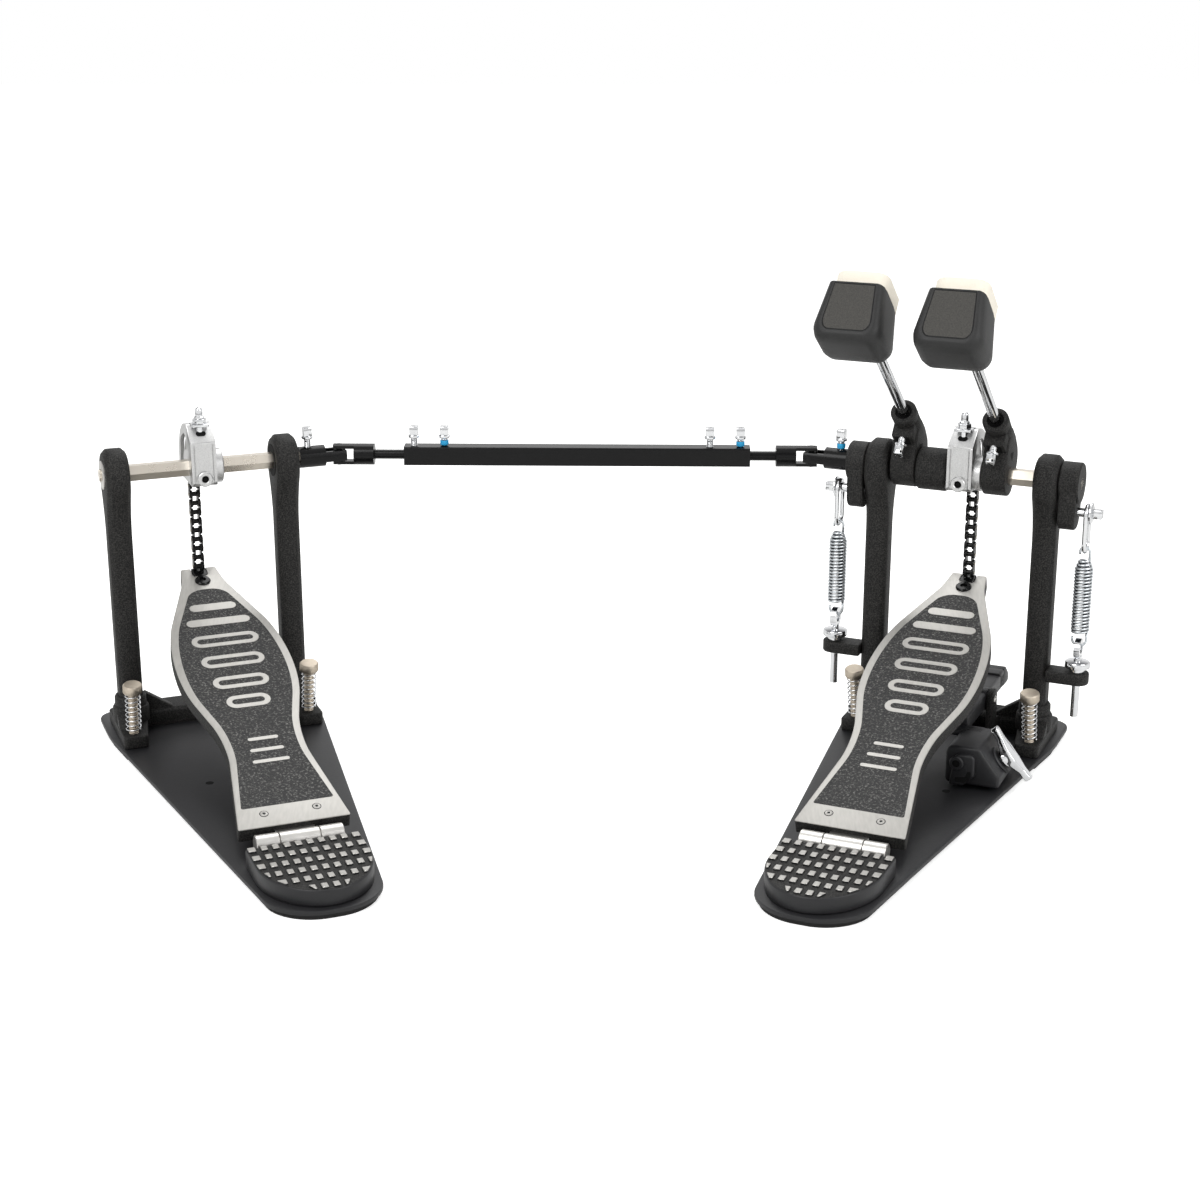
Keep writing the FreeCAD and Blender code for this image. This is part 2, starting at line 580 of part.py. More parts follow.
def heel_plate(name, frame):
    heel_top = plate_top + s.heel_high
    disc = rod(s.heel_radius, s.heel_high, (0, s.heel_centre_y, plate_top))
    ahead = block((-s.heel_radius * 2, s.heel_chord_y, 0),
            (s.heel_radius * 2, s.heel_chord_y + s.heel_radius * 2, heel_top * 2))
    casting = cut(disc, ahead)
    rim = Part.makeCylinder(float(s.heel_radius - s.square_rim), float(s.square_high),
                            FreeCAD.Vector(0, float(s.heel_centre_y), float(heel_top)))
    squares = []
    across = int(float(s.heel_radius / s.square_pitch_x))
    rows = int(float((s.heel_chord_y - s.heel_centre_y + s.heel_radius) / s.square_pitch_y))
    for row in range(rows):
        y = float(s.heel_chord_y - s.square_rim - s.square_side) - row * float(s.square_pitch_y)
        shift = (row % 2) / 2
        for column in range(-across, across + 1):
            x = (column + shift) * float(s.square_pitch_x) - float(s.square_side) / 2
            square = Part.makeBox(float(s.square_side), float(s.square_side), float(s.square_high),
                                  FreeCAD.Vector(x, y, float(heel_top)))
            kept = square.common(rim)
            if kept.Volume > square.Volume / 3:
                squares.append(kept.Solids[0])
    grid = shaped(Part.makeCompound(squares))
    plate = fuse(casting, grid)
    knuckles = []
    half = s.centre_knuckle / 2 + s.knuckle_gap
    for side in (-1, 1):
        low, high = (half, half + s.outer_knuckle) if side > 0 else (-half - s.outer_knuckle, -half)
        barrel = rod(s.knuckle_radius, s.outer_knuckle, (low, hinge_y, s.hinge_high), "x")
        leaf = block((low, s.heel_chord_y, s.hinge_high - s.knuckle_radius), (high, hinge_y, s.hinge_high))
        bore = rod(s.hinge_pin_radius + s.fit_clear, s.outer_knuckle + s.overrun * 2,
                   (low - s.overrun, hinge_y, s.hinge_high), "x")
        knuckles.append(cut(fuse(barrel, leaf), bore))
    pin_half = half + s.outer_knuckle
    pin = rod(s.hinge_pin_radius, pin_half * 2, (-pin_half, hinge_y, s.hinge_high), "x")
    node(name + "_heel_plate", group(plate, *knuckles, pin), frame)


def spurs(name, frame, names):
    for side, label in ((-1, names[0]), (1, names[1])):
        foot = spur_foot(side)
        tip = cone(0, s.spur_radius, s.spur_tip)
        shank = rod(s.spur_radius, s.spur_long - s.spur_tip - s.spur_head_high, (0, 0, s.spur_tip))
        head = rod(s.spur_head_radius, s.spur_head_high, (0, 0, s.spur_long - s.spur_head_high))
        node(f"{name}_{label}_spur", fuse(tip, shank, head), frame * FreeCAD.Placement(foot, spur_turn()))
    springs = []
    wire = float(s.coil_wire)
    radius = float(s.coil_radius)
    for side in (-1, 1):
        foot = spur_foot(side)
        seat = (float(foot_top) - foot.z) / cosine(s.spur_tilt) + radius * sine(s.spur_tilt)
        low = seat + wire + float(s.rest_clear)
        high = float(s.spur_long - s.spur_head_high) - wire - float(s.rest_clear)
        quarters = int(SIZES["coil_turns"]) * 4
        rise = (high - low) / quarters
        stations = [turn_station(radius, i * math.pi / 2, low + i * rise,
                rise * 2 / math.pi) for i in range(quarters + 1)]
        coil, path = wound(stations, wire)
        springs.append(moved(shaped(coil), FreeCAD.Placement(foot, spur_turn())))
    print(name, "spur spring least gap", round(self_gap(path, wire, radius * 3), 3))
    node(name + "_spur_springs", group(*springs), frame)


# Footboard.
def footboard(name, frame):
    body = new_body()

    def both_sides(corners):
        return corners + [(-c[0], *c[1:]) for c in reversed(corners)]

    top = s.board_top
    low = s.board_top - s.board_deep
    feature(body, "Pad", outline(body, "XY", both_sides([
        (s.board_heel_half, s.board_start, s.board_edge), (s.waist_half, s.waist_at, s.waist_radius),
        (s.ball_half, s.ball_at, s.ball_radius), (s.neck_half, s.neck_at, s.neck_radius),
        (s.tip_half, s.board_end, s.board_edge)]), low), s.board_deep)
    border = s.grip_border
    feature(body, "Pocket", outline(body, "XY", both_sides([
        (s.board_heel_half - border - s.board_edge, s.grip_start, s.board_edge),
                (s.waist_half - border, s.waist_at, s.waist_radius),
        (s.ball_half - border, s.ball_at, s.ball_radius - border),
                (s.grip_end_half, s.grip_end, s.grip_end_radius)]),
        top), s.grip_deep)
    wall = s.board_wall
    feature(body, "Pocket", outline(body, "XY", both_sides([
        (s.board_heel_half - wall, s.board_start + wall, s.board_edge),
                (s.waist_half - wall, s.waist_at, s.waist_radius),
        (s.ball_half - wall, s.ball_at, s.ball_radius - wall), (s.neck_half, s.hollow_end, s.board_edge)]),
        low), s.board_deep - s.board_skin, back=True)
    for place in (s.waist_at, (s.waist_at + s.ball_at) / 2, s.ball_at, (s.ball_at + s.hollow_end) / 2):
        feature(body, "Pad", outline(body, "XY", [
            (s.waist_half - wall, place), (s.waist_half - wall, place + s.rib_thick),
            (-s.waist_half + wall, place + s.rib_thick), (-s.waist_half + wall, place)], low),
                    s.board_deep - s.board_skin)
    half = s.centre_knuckle / 2
    mouth = block((-half, s.board_start - s.overrun, low - s.overrun),
            (half, s.board_start + wall + s.fit_clear, top - s.board_skin))
    notch = block((-s.notch_half, s.board_end - s.notch_deep, low - s.overrun),
            (s.notch_half, s.board_end + s.overrun, top + s.overrun))
    board = cut(body, mouth, notch)
    pin = rod(s.tip_pin_radius, s.notch_half * 2, (-s.notch_half, tip_along, s.tip_pin_high), "x")
    barrel = rod(s.knuckle_radius, s.centre_knuckle, (-half, 0, 0), "x")
    leaf = block((-half, 0, top - s.board_skin - s.leaf_thick),
            (half, s.board_start + s.leaf_long, top - s.board_skin))
    bore = rod(s.hinge_pin_radius + s.run_clear, s.centre_knuckle + s.overrun * 2,
            (-half - s.overrun, 0, 0), "x")
    node(name + "_footboard", group(fuse(board, pin), cut(fuse(barrel, leaf), bore)), frame * board_seat)


# Roller chain and cam.
def link(a, b, outer, eye_a=0, loose_a=False):
    """One link between pins a and b in the YZ plane: two plates with its pins or rollers.

    A loose link has no pin at a, where the run is parted from the next one.
    """
    thick = float(s.link_plate)
    inside = float(s.link_inner) + (thick + float(s.link_gap) if outer else 0)
    half = float(s.link_high) / 2
    along = FreeCAD.Vector(b - a).normalize()
    side = FreeCAD.Vector(0, -along.z, along.y) * half
    ends = along * half
    edges = [Part.LineSegment(a + side, b + side).toShape(),
            Part.Arc(b + side, b + ends, b - side).toShape(),
             Part.LineSegment(b - side, a - side).toShape(), Part.Arc(a - side, a - ends,
                     a + side).toShape()]
    face = Part.Face(Part.Wire(edges))
    across = FreeCAD.Vector(1, 0, 0)
    solids = []
    for start in (inside, -inside - thick):
        plate = face.copy()
        plate.translate(across * start)
        solids.append(plate.extrude(across * thick))
    if outer:
        reach = inside + thick + float(s.pin_head)
        for pin in ((b,) if loose_a else (a, b)):
            solids.append(Part.makeCylinder(float(s.pin_radius), reach * 2, pin - across * reach, across))
    else:
        for pin in (a, b):
            solids.append(Part.makeCylinder(float(s.roller_radius), inside * 2, pin - across * inside,
                    across))
    whole = solids[0].fuse(solids[1:])
    holes = []
    if not outer:
        reach = inside + thick + float(s.overrun)
        for pin, radius in ((a, eye_a), (b, 0)):
            clear = radius or float(s.pin_radius) + float(s.run_clear)
            holes.append(Part.makeCylinder(clear, reach * 2, pin - across * reach, across))
        whole = whole.cut(holes)
    return whole.removeSplitter()


def chain_run(pins, first_outer, eye=0, loose=False):
    links = []
    for i, (a, b) in enumerate(zip(pins, pins[1:])):
        outer = (i % 2 == 0) == first_outer
        links.append(link(a, b, outer, eye if i == 0 else 0, loose and i == 0).Solids[0])
    return shaped(Part.makeCompound(links))


def on_cam(step):
    """A chain pin on the cam, counted in links up from the tangent at the drum side."""
    turn = 2 * math.asin(float(s.chain_pitch) / (2 * float(s.chain_radius)))
    radius = float(s.chain_radius)
    return FreeCAD.Vector(0, radius * math.cos(step * turn), radius * math.sin(step * turn))


def chain(name, frame):
    count = int(SIZES["chain_links"])
    lead = int(SIZES["lead_links"])
    top = int(SIZES["top_links"])
    pitch = float(s.chain_pitch)
    hanging = [FreeCAD.Vector(0, 0, i * pitch) for i in range(count + 1)]
    tip = board_seat.multVec(FreeCAD.Vector(0, float(tip_along), float(s.tip_pin_high)))
    node(name + "_chain_hanging", chain_run(hanging, False, float(s.tip_pin_radius) + float(s.run_clear)),
         frame * FreeCAD.Placement(tip, FreeCAD.Rotation()))
    start_outer = count % 2 == 1
    pins = [on_cam(i) for i in range(lead + 1)]
    node(name + "_chain_lead", chain_run(pins, start_outer), frame * shaft_seat)
    pins = [on_cam(i + lead) for i in range(top + 1)]
    outer = start_outer == (lead % 2 == 0)
    node(name + "_chain_top", chain_run(pins, outer, loose=True), frame * shaft_seat)


def cam(name, frame):
    """A channelled cam: the chain lies between two cheeks over a round floor."""
    body = new_body()
    rim = s.chain_radius + s.cam_rim
    feature(body, "Pad", outline(body, "YZ", [
        (-s.cam_front, -s.cam_low, s.cam_wall), (rim, -s.cam_low, s.cam_wall),
                (rim, rim, rim - s.fit_clear),
        (-s.cam_back_of_top, rim), (-s.cam_front, s.cam_front_top, s.cam_wall)]), s.cam_wide,
                symmetric=True)
    floor = s.chain_radius - s.cam_floor
    beyond = rim + s.overrun
    feature(body, "Pocket", outline(body, "YZ", [
        (-s.cam_back_of_top, floor), (floor, floor, floor - s.fit_clear), (floor, -beyond),
                (beyond, -beyond),
        (beyond, beyond), (-s.cam_back_of_top, beyond)]), s.cam_wide - s.cam_wall * 2, symmetric=True)
    hub = circle(body, "YZ", (0, 0), s.cam_hub_radius, s.cam_wide / 2)
    feature(body, "Pad", hub, s.cam_hub_long)
    boss = circle(body, "XZ", (0, -s.cam_low / 2), s.set_boss_radius, s.cam_front)
    feature(body, "Pad", boss, s.set_boss_long)
    drill = circle(body, "XZ", (0, -s.cam_low / 2), s.set_hole_radius, s.cam_front + s.set_boss_long)
    feature(body, "Pocket", drill, s.set_boss_long + s.cam_wall)
    six = hexagon(s.hex_flats / 2 + s.fit_clear)
    feature(body, "Pocket", outline(body, "YZ", six), s.cam_wide * 2 + s.cam_hub_long * 2, symmetric=True)
    node(name + "_cam", cut(body, key_hole(*anchor_seat())), frame * shaft_seat)


def hexagon(flat, turn=0):
    """Corners of a hexagon from half its width across flats, a flat up before the turn in degrees."""
    far = flat / cosine(30)
    return [(far * cosine(turn + corner * 60), far * sine(turn + corner * 60)) for corner in range(6)]


def hex_shaft(label, frame, low, high, ends):
    """A hexagon bar with round journals turned on its ends."""
    body = new_body()
    feature(body, "Pad", outline(body, "YZ", hexagon(s.hex_flats / 2), low), high - low)
    for start, end, radius in ends:
        feature(body, "Pad", circle(body, "YZ", (0, 0), radius, start), end - start)
    node(label, body, frame * shaft_seat)


# Beater hub, beater, rocker.
def beater_hub(name, frame, start, hexed):
    body = new_body()
    centre = start + s.hub_wide / 2
    radius = s.hub_radius
    snug = radius - s.fit_clear
    shoulder = s.rod_offset - s.hub_boss_radius + s.fit_clear
    feature(body, "Pad", outline(body, "YZ", [
        (-radius, -radius, snug), (s.rod_offset, -radius, snug),
                (s.rod_offset + s.hub_boss_radius / 2, s.hub_boss_low),
        (s.rod_offset + s.hub_boss_radius / 2, s.hub_front_rise), (shoulder, s.hub_front_rise),
        (-radius, radius, snug)], centre), s.hub_wide, symmetric=True)
    boss = circle(body, "XY", (centre, s.rod_offset), s.hub_boss_radius, s.hub_boss_low)
    feature(body, "Pad", boss, s.hub_top - s.hub_boss_low)
    bore = circle(body, "XY", (centre, s.rod_offset), s.rod_radius + s.run_clear, -radius - s.overrun)
    feature(body, "Pocket", bore, s.hub_top + radius + s.overrun * 2, back=True)
    if hexed:
        eye = outline(body, "YZ", hexagon(s.hex_flats / 2 + s.fit_clear, -float(s.beater_lean)), centre)
    else:
        eye = circle(body, "YZ", (0, 0), s.stub_radius + s.fit_clear, centre)
    feature(body, "Pocket", eye, s.hub_wide * 2, symmetric=True)
    node(name + "_beater_hub", cut(body, key_hole(*hub_bolt_seat(start))), frame * lean_seat)


def hub_bolt_seat(start):
    """Where a key bolt enters the front of a hub's boss, square to the beater rod."""
    front = float(s.rod_offset - s.hub_boss_radius)
    at = FreeCAD.Vector(float(start + s.hub_wide / 2), front, float(s.hub_bolt_at))
    return at, FreeCAD.Rotation(FreeCAD.Vector(1, 0, 0), 90)


def beater(name, frame, start):
    centre = start + s.hub_wide / 2
    bar = new_body()
    feature(bar, "Pad", circle(bar, "XY", (centre, s.rod_offset), s.rod_radius, s.rod_low),
            s.rod_high - s.rod_low)
    node(name + "_beater_rod", bar, frame * lean_seat)
    shell = new_body()
    back = s.rod_offset - s.head_back
    front = s.rod_offset + s.head_front
    half = s.head_wide / 2

    def section(inset_x, inset_back, height):
        return outline(shell, "XY", [
            (centre - half + inset_x, back + inset_back, s.head_corner),
                    (centre + half - inset_x, back + inset_back, s.head_corner),
            (centre + half - inset_x, front), (centre - half + inset_x, front)], height)

    bevel = s.head_bevel
    rings = [section(bevel / 2, s.head_belly / 2, s.head_low), section(0, 0, s.head_low + s.head_belly),
             section(0, 0, s.head_low + s.head_tall - bevel), section(bevel, bevel,
                     s.head_low + s.head_tall)]
    loft = shell.newObject("PartDesign::AdditiveLoft", fresh("Loft"))
    loft.Profile = rings[0]
    loft.Sections = rings[1:]
    loft.Ruled = True
    hole = circle(shell, "XY", (centre, s.rod_offset), s.rod_radius + s.fit_clear, s.head_low - s.overrun)
    feature(shell, "Pocket", hole, s.rod_high - s.head_low + s.overrun + s.fit_clear, back=True)
    node(name + "_beater_shell", shell, frame * lean_seat)
    felt = new_body()
    wide = s.felt_wide / 2
    low = s.head_low + (s.head_tall - s.felt_tall) / 2
    face = outline(felt, "XZ", [
        (centre - wide, low, s.felt_corner), (centre + wide, low, s.felt_corner),
        (centre + wide, low + s.felt_tall, s.felt_corner),
                (centre - wide, low + s.felt_tall, s.felt_corner)], -front)
    feature(felt, "Pad", face, s.felt_thick, back=True)
    node(name + "_beater_felt", felt, frame * lean_seat)


def rocker(name, frame, side, bore_radius):
    body = new_body()
    start = s.post_reach + s.post_wide / 2 + s.side_clear
    centre = (start + s.rocker_wide / 2) * side
    waist = s.rocker_radius - s.fit_clear
    foot = s.rocker_foot_half
    feature(body, "Pad", circle(body, "YZ", (0, 0), s.rocker_radius, centre), s.rocker_wide, symmetric=True)
    feature(body, "Pad", outline(body, "YZ", [
        (waist, 0), (-waist, 0), (s.spring_y - foot - s.fit_clear, -s.rocker_drop, foot - s.fit_clear),
        (s.spring_y + foot + s.fit_clear, -s.rocker_drop, foot - s.fit_clear)], centre), s.rocker_wide,
                symmetric=True)
    eye = circle(body, "YZ", (0, 0), bore_radius + s.fit_clear, centre)
    feature(body, "Pocket", eye, s.rocker_wide * 2, symmetric=True)
    hole = circle(body, "YZ", (s.spring_y, -s.swing_bolt_drop), s.swing_bolt_radius + s.fit_clear, centre)
    feature(body, "Pocket", hole, s.rocker_wide * 2, symmetric=True)
    node(name + "_rocker", body, frame * shaft_seat)


def swing_bolt(side):
    """The bolt through a rocker's foot that carries the swivel ring, with its square end outside."""
    start = s.post_reach + s.post_wide / 2 + s.side_clear
    out = s.spring_x + s.ring_wire + s.rest_clear
    low = min(float(start) * side, float(out) * side)
    shank = rod(s.swing_bolt_radius, out - start, (low, s.spring_y, -s.swing_bolt_drop), "x")
    half = s.key_square / 2
    flange_low = out if side > 0 else -out - s.key_flange
    flange = rod(s.key_flange_radius + s.ring_wire, s.key_flange,
            (flange_low, s.spring_y, -s.swing_bolt_drop), "x")
    head_low = out + s.key_flange if side > 0 else -out - s.key_flange - s.key_head
    head = block((head_low, s.spring_y - half, -s.swing_bolt_drop - half),
            (head_low + s.key_head, s.spring_y + half, half - s.swing_bolt_drop))
    return moved(fuse(shank, flange, head), shaft_seat)


# Springs, swivel rings, eye bolts, brackets.
def swivel(name, frame, side):
    """An oval wire ring that hangs on the rocker's bolt and takes the spring's top hook."""
    bend = float(s.swing_bolt_radius + s.ring_clear + s.ring_wire)
    long = float(s.ring_long)
    v = FreeCAD.Vector
    edges = [Part.LineSegment(v(0, bend, -long), v(0, bend, 0)).toShape(),
            Part.Arc(v(0, bend, 0), v(0, 0, bend), v(0, -bend, 0)).toShape(),
             Part.LineSegment(v(0, -bend, 0), v(0, -bend, -long)).toShape(),
             Part.Arc(v(0, -bend, -long), v(0, 0, -long - bend), v(0, bend, -long)).toShape()]
    path = Part.Wire(edges)
    ring = Part.Wire([Part.Circle(v(0, bend, -long), v(0, 0, 1), float(s.ring_wire)).toShape()])
    shape = path.makePipeShell([ring], True, False)
    slack = s.ring_clear - s.rest_clear
    at = FreeCAD.Vector(side * float(s.spring_x), float(s.spring_y),
            float(s.shaft_high - s.swing_bolt_drop - slack))
    node(name + "_swivel", shaped(shape), frame * FreeCAD.Placement(at, FreeCAD.Rotation()))


def spring(name, frame, side):
    """A tension spring wound from the eye up to the swivel ring, with a half-round hook at each end."""
    wire = float(s.spring_wire)
    radius = float(s.spring_radius)
    narrow = radius * float(s.spring_top_share)
    up = FreeCAD.Vector(0, 0, 1)
    down = FreeCAD.Vector(0, 0, -1)
    right = FreeCAD.Vector(1, 0, 0)
    hook_low = float(s.eye_high + s.eye_hole - s.rest_clear * 2) - wire + radius
    ring_low = float(s.shaft_high - s.swing_bolt_drop - s.ring_long - s.swing_bolt_radius
                     - s.ring_clear * 2 + s.rest_clear)
    hook_high = ring_low + float(s.rest_clear) + wire - narrow
    low = float(s.spring_low)
    body = float(s.spring_body)
    quarters = int(SIZES["spring_turns"]) * 4
    rise = body / quarters
    stations = [(FreeCAD.Vector(-radius, 0, hook_low + float(s.spring_tip)), down),
            (FreeCAD.Vector(-radius, 0, hook_low), down),
                (FreeCAD.Vector(0, 0, hook_low - radius), right), (FreeCAD.Vector(radius, 0, hook_low), up)]
    taper = 8
    for i in range(1, quarters):
        share = max(0, i - (quarters - taper)) / taper
        r = radius + (narrow - radius) * share
        swell = (narrow - radius) / (taper * math.pi / 2) if i > quarters - taper else 0
        stations.append(turn_station(r, i * math.pi / 2, low + i * rise, rise * 2 / math.pi, swell))
    stations += [(FreeCAD.Vector(narrow, 0, hook_high), up),
            (FreeCAD.Vector(0, 0, hook_high + narrow), -right),
                 (FreeCAD.Vector(-narrow, 0, hook_high), down),
                 (FreeCAD.Vector(-narrow, 0, hook_high - float(s.spring_tip)), down)]
    shape, path = wound(stations, wire)
    print(name, "spring least gap", round(self_gap(path, wire, radius * 3), 3))
    at = FreeCAD.Vector(side * float(s.spring_x), float(s.spring_y), 0)
    node(name + "_spring", shaped(shape), frame * FreeCAD.Placement(at, FreeCAD.Rotation()))


def eye_bolts(frame):
    pair = []
    for side in (-1, 1):
        x = s.spring_x * side
        bar = rod(s.eye_rod_radius, s.eye_high - s.eye_hole - s.eye_wire - s.eye_rod_low,
                (x, s.spring_y, s.eye_rod_low))
        wide = s.eye_wire * 2
        eye = rod(s.eye_hole + wide, wide, (x - s.eye_wire, s.spring_y, s.eye_high), "x")
        hole = rod(s.eye_hole, wide + s.overrun * 2,
                (x - s.eye_wire - s.overrun, s.spring_y, s.eye_high), "x")
        pair.append(cut(fuse(bar, eye), hole))
    node("eye_bolts", group(*pair), frame)


def spring_brackets(frame):
    pair = []
    for side in (-1, 1):
        body = new_body()
        near = (s.post_reach + s.post_wide / 2) * side
        far = s.bracket_end * side
        half = s.bracket_wide / 2
        left, right = (near, far) if side > 0 else (far, near)
        round_end = half - s.fit_clear
        corners = [(left, s.spring_y - half), (right, s.spring_y - half, round_end),
                (right, s.spring_y + half, round_end),
                   (left, s.spring_y + half)]
        if side < 0:
            corners = [(left, s.spring_y - half, round_end), (right, s.spring_y - half),
                    (right, s.spring_y + half),
                       (left, s.spring_y + half, round_end)]
        feature(body, "Pad", outline(body, "XY", corners, s.bracket_top - s.bracket_thick), s.bracket_thick)
        hole = circle(body, "XY", (s.spring_x * side, s.spring_y), s.eye_rod_radius + s.fit_clear,
                s.bracket_top - s.bracket_thick)
        feature(body, "Pocket", hole, s.bracket_thick + s.overrun, back=True)
        pair.append(body)
    node("spring_brackets", group(*pair), frame)


def tension_nut(name, frame, side):
    low = s.bracket_top + s.rest_clear
    x = s.spring_x * side
    disc = rod(s.nut_radius, s.nut_high, (x, s.spring_y, low + s.nut_collar))
    collar = rod(s.nut_collar_radius, s.nut_collar, (x, s.spring_y, low))
    bore = rod(s.eye_rod_radius + s.run_clear, s.nut_high + s.nut_collar + s.overrun * 2,
            (x, s.spring_y, low - s.overrun))
    node(name + "_tension_nut", cut(fuse(disc, collar), bore), frame)


# Hoop clamp.
def hoop_clamp(frame):
    half = s.lever_wide / 2
    x = s.ear_x
    arm = block((x - half, s.lever_tail_y, s.ear_z - s.lever_high / 2),
            (x + half, s.jaw_back, s.ear_z + s.lever_high / 2))
    eye = rod(s.ear_radius, s.lever_wide, (x - half, s.ear_y, s.ear_z), "x")
    jaw_x = x - s.jaw_half + half
    jaw = new_body()
    feature(jaw, "Pad", outline(jaw, "YZ", [
        (s.jaw_back, s.jaw_low), (s.jaw_front, s.jaw_low, s.jaw_round),
        (s.jaw_front, s.jaw_low + s.jaw_nose, s.jaw_round),
        (s.jaw_back + s.jaw_nose, s.jaw_high, s.jaw_round), (s.jaw_back, s.jaw_high)], jaw_x),
        s.jaw_half * 2, symmetric=True)
    web = block((jaw_x - s.jaw_half, s.jaw_back - s.lever_high, s.ear_z - s.lever_high / 2),
                (x + half, s.jaw_back + s.fit_clear, s.jaw_high))
    # the tail block slopes on its outer side, square to the wing bolt
    tail = new_body()
    slope = cosine(s.wing_tilt) / sine(s.wing_tilt)
    rise = (s.block_high - s.block_low) / 2
    outer = s.block_x + s.block_wide / 2
    skirt = rise * s.block_skirt_share
    feature(tail, "Pad", outline(tail, "XZ", [
        (s.block_x - s.block_wide / 2, s.block_low), (outer + skirt * slope, s.block_low),
        (outer + skirt * slope, s.block_low + rise - skirt), (outer - rise * slope, s.block_high),
        (s.block_x - s.block_wide / 2, s.block_high)], -s.lever_tail_y), s.lever_tail_y - s.block_from_y)
    link_arm = block((x - half, s.lever_tail_y - s.lever_wide, s.ear_z - s.lever_high / 2),
                     (s.block_x, s.lever_tail_y + s.fit_clear, s.block_high))
    bore = rod(s.clamp_pin_radius + s.run_clear, s.lever_wide + s.overrun * 2,
            (x - half - s.overrun, s.ear_y, s.ear_z), "x")
    turn = FreeCAD.Rotation(FreeCAD.Vector(0, 1, 0), float(s.wing_tilt))
    mid_y = float(s.block_from_y + s.lever_tail_y) / 2
    face = FreeCAD.Vector(float(s.block_x + s.block_wide / 2), mid_y, float(s.block_low + s.block_high) / 2)
    seat = FreeCAD.Placement(face, turn)
    sunk = seat * FreeCAD.Placement(FreeCAD.Vector(0, 0, -float(s.wing_sink)), FreeCAD.Rotation())
    hole = rod(s.wing_radius + s.run_clear, s.block_wide, seat=sunk)
    lever = cut(fuse(arm, eye, jaw, web, tail, link_arm), bore, hole)
    node("clamp_lever", lever, frame)
    shank = rod(s.wing_radius, s.wing_sink + s.wing_reach, (0, 0, -s.wing_sink))
    hub = rod(s.wing_hub_radius, s.wing_hub_long, (0, 0, s.wing_reach))
    span = s.wing_span / 2
    wing = new_body()
    feature(wing, "Pad", outline(wing, "XY", [
        (-span, -s.wing_wide / 2, s.wing_thick), (0, -s.wing_wide / 3),
                (span, -s.wing_wide / 2, s.wing_thick),
        (span, s.wing_wide / 2, s.wing_thick), (0, s.wing_wide / 3),
                (-span, s.wing_wide / 2, s.wing_thick)],
        s.wing_reach + (s.wing_hub_long - s.wing_thick) / 2), s.wing_thick)
    node("clamp_wing_bolt", fuse(shank, hub, wing), frame * seat)


# Universal joints and linkage.
def yoke(sleeve_from, upright, extra):
    """A fork on the end of a round sleeve, its ears round the joint centre at the origin, opening to +X.

    The ears carry a pin across Y, or across Z when upright.
    """
    bar = rod(s.yoke_radius, s.yoke_ear + sleeve_from, (-sleeve_from, 0, 0), "x")
    far = s.yoke_radius + s.overrun
    throat = -s.yoke_throat
    slot = s.yoke_slot
    flat = s.yoke_flat
    end = s.yoke_ear + s.overrun
    if upright:
        tools = [block((throat, -far, -slot), (end, far, slot)),
                block((throat, flat, -far), (end, far, far)),
                 block((throat, -far, -far), (end, -flat, far))]
        tools.append(rod(s.cross_pin_radius + s.cross_clear, far * 2, (0, 0, -far), "z"))
    else:
        tools = [block((throat, -slot, -far), (end, slot, far)),
                block((throat, -far, flat), (end, far, far)),
                 block((throat, -far, -far), (end, far, -flat))]
        tools.append(rod(s.cross_pin_radius + s.run_clear, far * 2, (0, -far, 0), "y"))
    return cut(bar, *tools, *extra)


def cross(label, placement, turn):
    half = s.cross_half
    reach = s.yoke_radius - s.fit_clear * 5
    core = block((-half, -half, -half), (half, half, half))
    piece = fuse(core, rod(s.cross_pin_radius, reach * 2, (0, -reach, 0), "y"),
            rod(s.cross_pin_radius, reach * 2, (0, 0, -reach), "z"))
    node(label, piece, placement * FreeCAD.Placement(FreeCAD.Vector(), turn))


